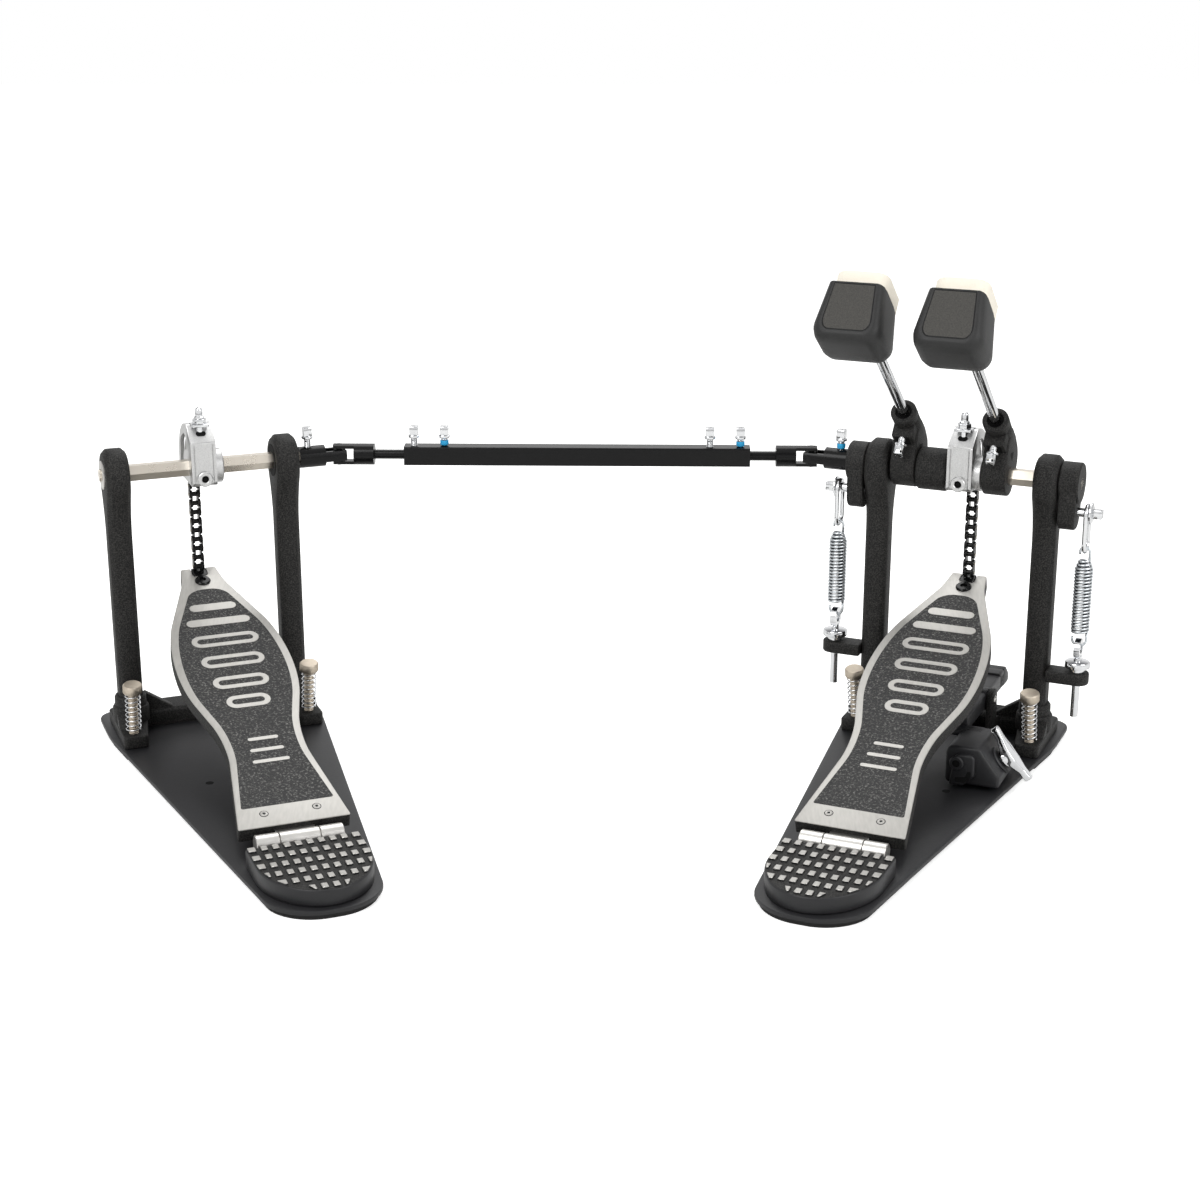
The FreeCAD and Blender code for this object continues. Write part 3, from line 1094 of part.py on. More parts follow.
def linkage():
    half_turn = FreeCAD.Rotation(FreeCAD.Vector(0, 0, 1), 180)
    still = FreeCAD.Rotation()
    up = FreeCAD.Rotation()
    span = s.linkage_span
    # shaft yokes: bored for the shaft ends, each with one key bolt on top
    sleeve = s.left_joint_reach - s.post_reach - s.post_wide / 2 - s.end_stub
    bolt_at = FreeCAD.Vector(-float(sleeve) + float(s.key_step), 0, float(s.yoke_radius))
    bore = rod(s.journal_radius + s.fit_clear, s.yoke_sleeve + s.overrun, (-sleeve - s.overrun, 0, 0), "x")
    left_seat = left_frame * shaft_seat * FreeCAD.Placement(FreeCAD.Vector(float(s.left_joint_reach), 0,
            0), still)
    node("left_shaft_yoke", yoke(sleeve, False, [bore, key_hole(bolt_at, up)]), left_seat)
    left_bolt = key_bolt(bolt_at, up)
    anchor = moved(cam_anchor(), FreeCAD.Placement(FreeCAD.Vector(-float(s.left_joint_reach), 0, 0), still))
    node("left_key_bolts", group(left_bolt, anchor), left_seat)
    sleeve = s.right_joint_reach - s.post_reach - s.post_wide / 2 - s.side_clear * 2 - s.rocker_wide
    bolt_at = FreeCAD.Vector(-float(sleeve) + float(s.key_step), 0, float(s.yoke_radius))
    bore = rod(s.journal_radius + s.fit_clear, s.yoke_sleeve + s.overrun, (-sleeve - s.overrun, 0, 0), "x")
    right_seat = right_frame * shaft_seat * FreeCAD.Placement(FreeCAD.Vector(-float(s.right_joint_reach),
            0, 0), half_turn)
    node("right_shaft_yoke", yoke(sleeve, False, [bore, key_hole(bolt_at, up)]), right_seat)
    # crosses lie square to the shaft yokes' pins and turn about them
    cross("left_cross", left_seat, still)
    cross("right_cross", right_seat, still)
    # linkage rods: a fork, a sleeve and the round rod that slides in the square tube
    for label, seat, turn in (("linkage_left_rod", 0, half_turn), ("linkage_right_rod", span, still)):
        fork = yoke(s.rod_yoke_long, True, [])
        bar = rod(s.link_rod_radius, s.tube_from - s.rod_yoke_long + s.rod_in_tube,
                (-s.tube_from - s.rod_in_tube, 0, 0), "x")
        at = FreeCAD.Placement(FreeCAD.Vector(float(size(seat)), 0, 0), turn)
        node(label, fuse(fork, bar), linkage_frame * at)
    body = new_body()
    side = s.tube_side / 2
    feature(body, "Pad", outline(body, "YZ", [
        (-side, -side, s.tube_corner), (side, -side, s.tube_corner), (side, side, s.tube_corner),
                (-side, side, s.tube_corner)],
        s.tube_from), s.tube_long)
    through = circle(body, "YZ", (0, 0), s.link_rod_radius + s.run_clear, s.tube_from - s.overrun)
    feature(body, "Pocket", through, s.tube_long + s.overrun * 2, back=True)
    places = [s.tube_from + s.key_step, s.tube_from + s.key_step + s.key_pair,
              s.tube_from + s.tube_long - s.key_step - s.key_pair, s.tube_from + s.tube_long - s.key_step]
    spots = [FreeCAD.Vector(float(place), 0, float(side)) for place in places]
    node("linkage_tube", cut(body, *[key_hole(spot, up) for spot in spots]), linkage_frame)
    node("linkage_key_bolts", group(*[key_bolt(spot, up) for spot in spots]), linkage_frame)


def cam_anchor():
    """The bolt and square nut that hold the end of the chain on top of the cam, in shaft coordinates."""
    return key_bolt(*anchor_seat())


def anchor_seat():
    y = -s.cam_back_of_top - s.cam_wall / 2 - s.key_shank_radius
    z = s.chain_radius + s.cam_rim - s.key_sink / 2
    return FreeCAD.Vector(0, float(y), float(z)), FreeCAD.Rotation()


# Both pedals.
for name, frame in (("right", right_frame), ("left", left_frame)):
    base_plate(name, frame)
    rubber_pads(name, frame)
    foot_casting(name, frame, name == "right")
    posts(name, frame)
    heel_plate(name, frame)
    footboard(name, frame)
    chain(name, frame)
    cam(name, frame)
spurs("right", right_frame, ("inner", "outer"))
spurs("left", left_frame, ("outer", "inner"))

# The left pedal's shaft turns in both posts and drives the linkage.
post_in = s.post_reach - s.post_wide / 2 + s.recess_deep - s.side_clear
post_out = s.post_reach + s.post_wide / 2
hex_shaft("left_hex_shaft", left_frame, -post_in, post_in, [
    (-post_out - s.end_stub, -post_in, s.journal_radius),
    (post_in, post_out + s.end_stub + s.yoke_sleeve, s.journal_radius)])

# The right pedal's own shaft runs from the sleeve to the outer rocker.
sleeve_from = s.second_hub_from + s.hub_wide
hex_shaft("right_hex_shaft", right_frame, s.sleeve_to + s.side_clear, post_in, [
    (sleeve_from + s.sleeve_floor + s.side_clear, s.sleeve_to + s.side_clear, s.stub_radius),
    (post_in, post_out + s.side_clear + s.rocker_wide, s.journal_radius)])

# The second axle is the sleeve on that shaft's inner end; it carries the second hub, rocker and yoke.
sleeve_body = new_body()
feature(sleeve_body, "Pad", circle(sleeve_body, "YZ", (0, 0), s.sleeve_radius, sleeve_from),
        s.sleeve_to - sleeve_from)
feature(sleeve_body, "Pad", circle(sleeve_body, "YZ", (0, 0), s.stub_radius, s.second_hub_from),
        sleeve_from - s.second_hub_from)
axle_end = -post_out - s.side_clear * 2 - s.rocker_wide - s.yoke_sleeve
feature(sleeve_body, "Pad", circle(sleeve_body, "YZ", (0, 0), s.journal_radius, axle_end),
        s.second_hub_from - axle_end)
feature(sleeve_body, "Pocket", circle(sleeve_body, "YZ", (0, 0), s.stub_radius + s.run_clear, s.sleeve_to),
        s.sleeve_to - sleeve_from - s.sleeve_floor)
node("second_sleeve", sleeve_body, right_frame * shaft_seat)

for name, start, side, hexed in (("main", s.main_hub_from, 1, True),
        ("second", s.second_hub_from, -1, False)):
    beater_hub(name, right_frame, start, hexed)
    beater(name, right_frame, start)
    rocker(name, right_frame, side, s.journal_radius)
    swivel(name, right_frame, side)
    spring(name, right_frame, side)
    tension_nut(name, right_frame, side)

bolt_groups = {"main": [moved(cam_anchor(), shaft_seat)], "second": []}
for name, start, side in (("main", s.main_hub_from, 1), ("second", s.second_hub_from, -1)):
    bolt_groups[name] += [moved(key_bolt(*hub_bolt_seat(start)), lean_seat), swing_bolt(side)]
yoke_top = FreeCAD.Vector(axle_end.value + float(s.yoke_sleeve - s.key_step), 0, float(s.yoke_radius))
bolt_groups["second"].append(moved(key_bolt(yoke_top, FreeCAD.Rotation()), shaft_seat))
for name, bolts in bolt_groups.items():
    node(name + "_key_bolts", group(*bolts), right_frame)

eye_bolts(right_frame)
spring_brackets(right_frame)
hoop_clamp(right_frame)
linkage()

doc.recompute()
faults = [f"{item.Label}: {item.State}" for item in doc.Objects
          if "Invalid" in item.State or "Error" in item.State]
for label, item in nodes.items():
    if item.Shape.isNull() or not item.Shape.isValid() or not item.Shape.Solids:
        faults.append(f"{label}: bad shape")
if faults:
    raise RuntimeError("; ".join(faults))
os.makedirs("parts", exist_ok=True)
for label, item in nodes.items():
    item.Shape.exportStep(os.path.join("parts", label + ".step"))
print(len(nodes), "nodes written")
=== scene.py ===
import math
import bmesh
import bpy
from mathutils import Matrix, Vector


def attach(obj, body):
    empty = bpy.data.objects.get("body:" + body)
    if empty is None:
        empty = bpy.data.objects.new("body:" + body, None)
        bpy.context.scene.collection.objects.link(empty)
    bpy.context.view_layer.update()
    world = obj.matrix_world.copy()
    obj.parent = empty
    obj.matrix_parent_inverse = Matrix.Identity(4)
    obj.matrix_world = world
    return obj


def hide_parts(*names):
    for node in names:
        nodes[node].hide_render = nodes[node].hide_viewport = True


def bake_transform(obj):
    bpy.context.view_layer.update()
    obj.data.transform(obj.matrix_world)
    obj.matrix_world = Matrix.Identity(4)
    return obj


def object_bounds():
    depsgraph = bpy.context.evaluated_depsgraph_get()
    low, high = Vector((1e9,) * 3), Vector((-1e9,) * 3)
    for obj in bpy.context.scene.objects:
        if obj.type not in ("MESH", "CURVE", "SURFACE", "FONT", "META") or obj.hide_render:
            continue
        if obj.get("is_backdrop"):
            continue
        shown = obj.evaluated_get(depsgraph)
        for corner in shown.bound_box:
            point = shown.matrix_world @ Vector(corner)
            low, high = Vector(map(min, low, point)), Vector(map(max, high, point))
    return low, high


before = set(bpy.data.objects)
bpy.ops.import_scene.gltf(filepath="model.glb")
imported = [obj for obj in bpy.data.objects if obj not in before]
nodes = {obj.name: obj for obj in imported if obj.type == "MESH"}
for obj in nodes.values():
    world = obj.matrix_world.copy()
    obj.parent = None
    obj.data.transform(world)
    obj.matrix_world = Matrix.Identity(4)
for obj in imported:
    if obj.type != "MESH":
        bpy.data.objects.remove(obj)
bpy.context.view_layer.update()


# Studio. A white sweep seen from in front and a little above, lit by broad soft boxes
# in an even white room, so that the black coats show their grain and the chrome its edges.
def linear(code):
    """An sRGB hex colour as linear RGBA."""
    parts = [int(code[i:i + 2], 16) / 255 for i in (1, 3, 5)]
    return tuple(c / 12.92 if c <= 0.04045 else ((c + 0.055) / 1.055) ** 2.4 for c in parts) + (1.0,)


def add(tree, kind, inputs=None, **settings):
    """Adds a node with its settings; an input is a value or the socket that feeds it."""
    made = tree.nodes.new("ShaderNode" + kind)
    for name, value in settings.items():
        setattr(made, name, value)
    for name, value in (inputs or {}).items():
        if isinstance(value, bpy.types.NodeSocket):
            tree.links.new(value, made.inputs[name])
        else:
            made.inputs[name].default_value = value
    return made


scene = bpy.context.scene
scene.view_settings.view_transform = "Standard"
room = bpy.data.worlds.new("white_room")
scene.world = room
room.use_nodes = True
tree = room.node_tree
tree.nodes.clear()
rays = add(tree, "LightPath")
mirrored = add(tree, "Math", {0: rays.outputs["Is Glossy Ray"], 1: rays.outputs["Is Transmission Ray"]},
               operation="MAXIMUM")
toward = add(tree, "TexCoord")
split = add(tree, "SeparateXYZ", {0: toward.outputs["Generated"]})
bands = add(tree, "ValToRGB", {0: split.outputs["Z"]})
bands.color_ramp.elements[0].position = 0.28
bands.color_ramp.elements[0].color = (1, 1, 1, 1)
bands.color_ramp.elements[1].position = 0.9
bands.color_ramp.elements[1].color = (0.95, 0.95, 0.95, 1)
dark_band = bands.color_ramp.elements.new(0.55)
dark_band.color = (0.18, 0.18, 0.19, 1)
ambient = add(tree, "Background", {"Color": (1, 1, 1, 1), "Strength": 0.55})
reflected = add(tree, "Background", {"Color": bands.outputs["Color"], "Strength": 1.0})
backdrop = add(tree, "Background", {"Color": (1, 1, 1, 1), "Strength": 1.0})
first = add(tree, "MixShader", {0: mirrored.outputs[0], 1: ambient.outputs[0], 2: reflected.outputs[0]})
both = add(tree, "MixShader", {0: rays.outputs["Is Camera Ray"], 1: first.outputs[0], 2: backdrop.outputs[0]})
add(tree, "OutputWorld", {"Surface": both.outputs[0]})

# Seamless paper: matt white, lifted a little where the camera sees it so that it meets the backdrop.
paper = bpy.data.materials.new("seamless_white_paper")
paper.use_nodes = True
tree = paper.node_tree
tree.nodes.clear()
rays = add(tree, "LightPath")
matt = add(tree, "BsdfDiffuse", {"Color": linear("#efefee")})
lift = add(tree, "Math", {0: rays.outputs["Is Camera Ray"], 1: 0.56}, operation="MULTIPLY")
glow = add(tree, "Emission", {"Color": (1, 1, 1, 1), "Strength": lift.outputs[0]})
lit = add(tree, "AddShader", {0: matt.outputs[0], 1: glow.outputs[0]})
add(tree, "OutputMaterial", {"Surface": lit.outputs[0]})
sweep = bmesh.new()
bmesh.ops.create_grid(sweep, x_segments=1, y_segments=1, size=6.0)
mesh = bpy.data.meshes.new("floor")
sweep.to_mesh(mesh)
mesh.materials.append(paper)
floor = bpy.data.objects.new("floor", mesh)
scene.collection.objects.link(floor)
floor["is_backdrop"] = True

LIT_SPOT = Vector((0, 0, 0.1))
for label, place, width, power in (("key_box", (-0.9, -1.1, 1.5), 1.1, 20.0),
                                   ("fill_box", (1.2, -0.8, 1.0), 0.9, 10.0),
                                   ("back_box", (0.1, 1.0, 1.5), 1.2, 12.0)):
    lamp = bpy.data.lights.new(label, "AREA")
    lamp.size = width
    lamp.energy = power
    box = bpy.data.objects.new(label, lamp)
    box.location = place
    box.rotation_euler = (LIT_SPOT - Vector(place)).to_track_quat("-Z", "Y").to_euler()
    scene.collection.objects.link(box)

lens = bpy.data.cameras.new("camera")
lens.lens = 64.98
lens.sensor_width = 36.0
lens.shift_x = -0.002
camera = bpy.data.objects.new("camera", lens)
camera.location = (0.01276, -1.26872, 0.533)
camera.rotation_euler = (math.radians(72.42), 0, 0)
scene.collection.objects.link(camera)
scene.camera = camera


# Base plates. A flat sheet of steel under each pedal, pressed out with a round heel end,
# powder coated satin black; the rubber soles under it are glued on and only show at the rim.
MM = Matrix.Scale(0.001, 4)
pedals = {
    "right": Matrix.Translation((0.24976, 0.10928, 0)) @ Matrix.Rotation(math.radians(-23.81), 4, "Z") @ MM,
    "left": Matrix.Translation((-0.253172, 0.123443, 0)) @ Matrix.Rotation(math.radians(21.62), 4, "Z") @ MM,
}
SOLE_TOP, PLATE_TOP = 3.0, 6.0
SPUR_X = 59.4


def profile(corners, holes=()):
    """A flat face in XY from corners (x, y[, radius[, steps]]), with other outlines left open in it."""
    shape = bmesh.new()
    for ring in (corners, *holes):
        spots = [shape.verts.new((corner[0], corner[1], 0)) for corner in ring]
        shape.faces.new(spots)
        for spot, corner in zip(spots, ring):
            if len(corner) == 2:
                continue
            before, after = (edge.other_vert(spot).co - spot.co for edge in spot.link_edges)
            reach = corner[2] / math.tan(before.angle(after) / 2)
            steps = corner[3] if len(corner) > 3 else 6
            bmesh.ops.bevel(shape, geom=[spot], offset=reach, offset_type="OFFSET", affect="VERTICES",
                            segments=steps, profile=0.5, material=-1)
    if holes:
        bmesh.ops.delete(shape, geom=shape.faces[:], context="FACES_ONLY")
        bmesh.ops.triangle_fill(shape, use_beauty=True, edges=shape.edges[:])
    return shape


def slab(corners, low, high, holes=()):
    """An outline given thickness along Z."""
    shape = profile(corners, holes)
    bmesh.ops.translate(shape, vec=(0, 0, low), verts=shape.verts)
    grown = bmesh.ops.extrude_face_region(shape, geom=shape.faces[:])
    raised = [item for item in grown["geom"] if isinstance(item, bmesh.types.BMVert)]
    bmesh.ops.translate(shape, vec=(0, 0, high - low), verts=raised)
    bmesh.ops.recalc_face_normals(shape, faces=shape.faces)
    return shape


def rounded(half_x, half_y, bend, steps, x=0, y=0):
    """The corners of a rectangle with round corners."""
    ends = ((-half_x, -half_y), (half_x, -half_y), (half_x, half_y), (-half_x, half_y))
    return [(x + across, y + along, bend, steps) for across, along in ends]


def ease(shape, width, steps=2, sharp=30, where=None):
    """Rounds the sharp edges of a shape, or those of them that a test picks."""
    edges = [edge for edge in shape.edges if len(edge.link_faces) == 2
             and edge.calc_face_angle(0) > math.radians(sharp) and (where is None or where(edge))]
    bmesh.ops.bevel(shape, geom=edges, offset=width, offset_type="OFFSET", affect="EDGES",
                    segments=steps, profile=0.5, material=-1, loop_slide=False)
    return shape


def painted(shape, number):
    for face in shape.faces:
        face.material_index = number
    return shape


def gather(*shapes):
    """Several shapes as one."""
    whole = bmesh.new()
    for shape in shapes:
        part = bpy.data.meshes.new("part")
        shape.to_mesh(part)
        whole.from_mesh(part)
        bpy.data.meshes.remove(part)
        shape.free()
    return whole


def piece(name, shape, coats, body, seat, stands_for=(), smooth=40):
    """A finished piece, set in its place and shaded; it rides on its body if it is given one."""
    made = shape.copy()
    bmesh.ops.transform(made, matrix=seat, verts=made.verts)
    mesh = bpy.data.meshes.new(name)
    made.to_mesh(mesh)
    made.free()
    for coat in coats:
        mesh.materials.append(coat)
    mesh.shade_smooth()
    mesh.set_sharp_from_angle(angle=math.radians(smooth))
    item = bpy.data.objects.new(name, mesh)
    scene.collection.objects.link(item)
    if body:
        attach(item, body)
    if stands_for:
        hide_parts(*stands_for)
    return item


def blank(name):
    """A new material, its node tree and the object coordinates in it."""
    made = bpy.data.materials.new(name)
    made.use_nodes = True
    made.node_tree.nodes.clear()
    return made, made.node_tree, add(made.node_tree, "TexCoord").outputs["Object"]


def noise(tree, spot, scale, detail=2.0, rough=0.5, **more):
    inputs = {"Vector": spot, "Scale": scale, "Detail": detail, "Roughness": rough, **more}
    return add(tree, "TexNoise", inputs).outputs["Fac"]


def between(tree, share, dark, pale):
    """A tone between two colours."""
    return add(tree, "Mix", {0: share, 6: linear(dark), 7: linear(pale)}, data_type="RGBA").outputs[2]


def ranged(tree, share, low, high):
    return add(tree, "MapRange", {0: share, 3: low, 4: high}).outputs[0]


def relief(tree, height, strength, depth, **settings):
    inputs = {"Height": height, "Strength": strength, "Distance": depth}
    return add(tree, "Bump", inputs, **settings).outputs[0]


def surface(tree, tone, gloss, **inputs):
    """Ends a material; an input's name has _ for a space."""
    named = {name.replace("_", " "): value for name, value in inputs.items()}
    shade = add(tree, "BsdfPrincipled", {"Base Color": tone, "Roughness": gloss, **named})
    add(tree, "OutputMaterial", {"Surface": shade.outputs[0]})


# Satin powder coat on sheet steel: even, a little orange peel at 3 mm, fine dust of wear.
sheet_coat, tree, spot = blank("satin_powder_coated_sheet")
peel = noise(tree, spot, 340.0)
cloud = noise(tree, spot, 14.0, 3.0, 0.6)
surface(tree, between(tree, cloud, "#18181a", "#212123"), ranged(tree, cloud, 0.38, 0.52), IOR=1.5,
        Specular_IOR_Level=0.4, Normal=relief(tree, peel, 0.25, 0.0002))

# Painted shade: flat near-black for the insides of holes, pockets and slots, too deep to take any light.
painted_hole_shade, tree, spot = blank("painted_shade_in_holes")
surface(tree, between(tree, noise(tree, spot, 800.0), "#050505", "#0b0b0b"), 0.8, Specular_IOR_Level=0.2)

plate = slab([(72.5, 43, 13, 8), (-72.5, 43, 13, 8), (-72.5, -8, 150, 8), (-31.4, -319.6, 31.3, 18),
              (31.4, -319.6, 31.3, 18), (72.5, -8, 150, 8)], SOLE_TOP, PLATE_TOP)
ease(plate, 0.7, 2, 60)
# Painted shade: a dark disc on the plate's top for the dark inside of each bolt hole.
for x in (-27, 27):
    well_shade = bmesh.new()
    bmesh.ops.create_cone(well_shade, cap_ends=True, segments=20, radius1=2.6, radius2=2.6, depth=0.1,
                          matrix=Matrix.Translation((x, -112, PLATE_TOP)))
    plate = gather(plate, painted(well_shade, 1))
for side, seat in pedals.items():
    piece(side + "_sheet_base", plate, [sheet_coat, painted_hole_shade], side + "_frame", seat,
          [side + "_base_plate"])

# Moulded rubber: dull black with a fine skin of pores.
rubber, tree, spot = blank("moulded_rubber")
pores = noise(tree, spot, 1200.0)
surface(tree, between(tree, pores, "#101010", "#1c1c1c"), 0.82, Normal=relief(tree, pores, 0.3, 0.0002))
spur_mouths = [rounded(5, 6, 4.9, 6, x, -25) for x in (-SPUR_X, SPUR_X)]
toe_sole = slab([(70.3, 41.0, 12, 6), (-70.3, 41.0, 12, 6), (-70.3, -8), (-66.5, -38), (66.5, -38),
                 (70.3, -8)], 0.0, SOLE_TOP + 0.05, spur_mouths)
heel_sole = slab([(-39.6, -236), (-29.4, -317.6, 29.3, 16), (29.4, -317.6, 29.3, 16), (39.6, -236)],
                 0.0, SOLE_TOP + 0.05)
soles = gather(toe_sole, heel_sole)
for side, seat in pedals.items():
    piece(side + "_rubber_soles", soles, [rubber], side + "_frame", seat,
          [side + "_rubber_pads"])


# Cast feet. A zinc casting on the toe of each plate joins the two post feet by a cross bar;
# the right one also has the two ears of the hoop clamp. All in wrinkled black powder coat.
def placed(shape, matrix):
    bmesh.ops.transform(shape, matrix=matrix, verts=shape.verts)
    return shape


def stretched(tree, share, low, high):
    """The part of a pattern between two levels, spread from 0 to 1."""
    return add(tree, "MapRange", {0: share, 1: low, 2: high}).outputs[0]


# The coat's wrinkle is about half a millimetre across, its peaks greyer than its valleys.
cast_coat, tree, spot = blank("wrinkle_powder_coat")
wrinkle = noise(tree, spot, 1250.0, 3.0, 0.62)
cloud = noise(tree, spot, 30.0)
surface(tree, between(tree, stretched(tree, wrinkle, 0.42, 0.68), "#0c0c0c", "#373634"),
        ranged(tree, cloud, 0.5, 0.66), IOR=1.5, Specular_IOR_Level=0.24,
        Normal=relief(tree, wrinkle, 0.7, 0.0003))

# A profile drawn in Y and Z has its thickness along X; one drawn in X and Z faces the player.
upright = Matrix(((0, 0, 1, 0), (1, 0, 0, 0), (0, 1, 0, 0), (0, 0, 0, 1)))
toward_player = Matrix.Rotation(math.radians(90), 4, "X")
FOOT_TOP = 14.5
EAR_THICK = 4
for side, seat in pedals.items():
    bar = placed(slab([(3, 6), (27, 6), (27, 15.5, 1, 2), (25, 17.5, 1, 2), (5, 17.5, 1, 2), (3, 15.5, 1, 2)],
                      -43, 43), upright)
    parts = [ease(bar, 0.6, 2, 60), slab([(-46, 3.2), (46, 3.2), (46, 26.8), (-46, 26.8)], PLATE_TOP, 14.3)]
    for hand in (-1, 1):
        plan = [(51.5, -36, 3), (67.4, -36, 3), (67.4, 27, 4), (45, 27), (45, 3, 6)]
        foot = slab([(corner[0] * hand, *corner[1:]) for corner in plan], PLATE_TOP, FOOT_TOP)
        parts.append(ease(foot, 1.0, 3, 50))
        low, high = sorted((51.7 * hand, 67.2 * hand))
        ramp = placed(slab([(-21, 14), (-10, 14), (-10, 23.5), (-12.6, 21.7)], low, high), upright)
        parts.append(ease(ramp, 0.7, 2, 40))
        web = slab([(45 * hand, 6), (45 * hand, 30), (23.4 * hand, 15.5), (23.4 * hand, 6)], -13, -5)
        parts.append(ease(placed(web, toward_player), 1.0, 2, 40))
    if side == "right":
        for low in (11.9, 28.1):
            ear = placed(slab([(-21.5, 6), (5, 6), (5, 17.5, 2, 3), (-6.5, 20, 3, 3), (-6.5, 42.5, 7.4, 8),
                               (-21.5, 42.5, 7.4, 8)], low, low + EAR_THICK), upright)
            parts.append(ease(ear, 0.8, 2, 60))
    piece(side + "_cast_foot", gather(*parts), [cast_coat], side + "_frame", seat,
          [side + "_foot_casting"])


# Posts. Two cast uprights a pedal, chamfered all round, with a round head that holds the
# shaft's ball bearing and a stepped collar where they are bolted through the foot.
def turned(points, steps=32):
    """A shape turned about Z from points of radius and height."""
    shape = bmesh.new()
    spots = [shape.verts.new((radius, 0, height)) for radius, height in points]
    rails = [shape.edges.new(pair) for pair in zip(spots, spots[1:])]
    bmesh.ops.spin(shape, geom=spots + rails, cent=(0, 0, 0), axis=(0, 0, 1), angle=2 * math.pi, steps=steps,
                   use_merge=True)
    bmesh.ops.remove_doubles(shape, verts=shape.verts, dist=0.0005)
    bmesh.ops.recalc_face_normals(shape, faces=shape.faces)
    return shape


def moved(shape, x, y, z):
    """A copy of a shape, moved."""
    return placed(shape.copy(), Matrix.Translation((x, y, z)))


AXLE = 184.6
POST_X, BEARING_X = 56, 48.15
along_x = Matrix.Rotation(math.radians(90), 4, "Y")
column = placed(slab([(-8, FOOT_TOP), (8, FOOT_TOP), (8, 158.6, 60, 4), (17, 176.1, 17, 4),
                      (17, 201.6, 16.9, 12), (-17, 201.6, 16.9, 12), (-17, 176.1, 17, 4), (-8, 158.6, 60, 4)],
                     -4.45, 4.45), upright)
for face in [face for face in column.faces if abs(face.normal.x) > 0.9]:
    for inward, outward in ((0.3, 0.7), (2.3, 2.3), (0.7, 0.3)):
        bmesh.ops.inset_region(column, faces=[face], thickness=inward, depth=outward, use_even_offset=True)
collar = turned([(0, 14.4), (12, 14.4), (12, 23.9), (11.3, 25.2), (10.5, 25.5), (10.4, 31.3), (9.6, 32.4),
                 (0, 32.4)], 40)
post = gather(column, collar)
for side, seat in pedals.items():
    pair = gather(moved(post, -POST_X, 0, 0), moved(post, POST_X, 0, 0))
    piece(side + "_upright_pair", pair, [cast_coat], side + "_frame", seat, [side + "_posts"])


def plated(name, scale, detail, tones, shine):
    """A bare or plated metal under one thin cloud of tone and shine."""
    made, tree, spot = blank(name)
    film = noise(tree, spot, scale, detail)
    surface(tree, between(tree, film, *tones), ranged(tree, film, *shine), Metallic=1.0)
    return made


# A shielded ball bearing is pressed into each head: a ring of painted shade for the dark mouth round the
# shaft inside, a bright ring at the left pedal's free end. Its steel is pale, turned fine and a little dull.
steel = plated("bright_turned_steel", 70.0, 2.0, ("#c2c0bc", "#d6d4d0"), (0.28, 0.36))
mouth_shade = painted(placed(turned([(5.9, 0), (10.8, 0), (10.8, 0.25), (9.8, 0.25), (5.9, 0.1)]), along_x), 1)
ring = placed(turned([(4.2, 0), (9.4, 0), (9.4, 0.9), (8.6, 1.3), (4.2, 1.3)]), along_x)
half_turn = Matrix.Rotation(math.pi, 4, "Z")
for side, seat in pedals.items():
    shown = [moved(mouth_shade, -BEARING_X, 0, AXLE),
             placed(mouth_shade.copy(), Matrix.Translation((BEARING_X, 0, AXLE)) @ half_turn)]
    if side == "left":
        shown.append(placed(ring.copy(), Matrix.Translation((-63.65, 0, AXLE)) @ half_turn))
    piece(side + "_post_bearings", gather(*shown), [steel, painted_hole_shade], side + "_frame", seat)


# Heel plates. A half-round black casting bolted on the heel of each base plate, satin at the side, with
# rows of small raised squares ground bright on its wrinkled top, and the butt hinge of the footboard.
# The squares are aluminium with slanting strokes of the grinder.
squares_bright, tree, spot = blank("ground_aluminium")
turn = add(tree, "Mapping", {"Vector": spot, "Rotation": (0, 0, math.radians(35)), "Scale": (1, 14, 1)})
strokes = noise(tree, turn.outputs[0], 220.0, 3.0)
surface(tree, between(tree, strokes, "#a09e9a", "#cfcdc8"), ranged(tree, strokes, 0.3, 0.46), Metallic=1.0)

HINGE_Y, HINGE_Z = -238.6, 15
HEEL_FRONT = -247
HEEL_HALF, HEEL_ROUND, HEEL_BACK = 34.2, -270.0, -316.0
ROWS, ROW_START, ROW_STEP = 6, -251.0, 12.0
TILE_HALF, TILE_WIDE, TILE_START, TILE_STEP, TILE_LEAST = 2.8, 3.7, 1.55, 6.8, 0.9


def heel_reach(y):
    """Half the heel's width at a place along the pedal."""
    into = max(0.0, (HEEL_ROUND - y) / (HEEL_ROUND - HEEL_BACK))
    return HEEL_HALF * math.sqrt(max(0.0, 1 - into * into))


def heel_top(y):
    """The height of the heel's top, which falls a little to the back."""
    return 16.5 + (y - HEEL_BACK) * 0.014


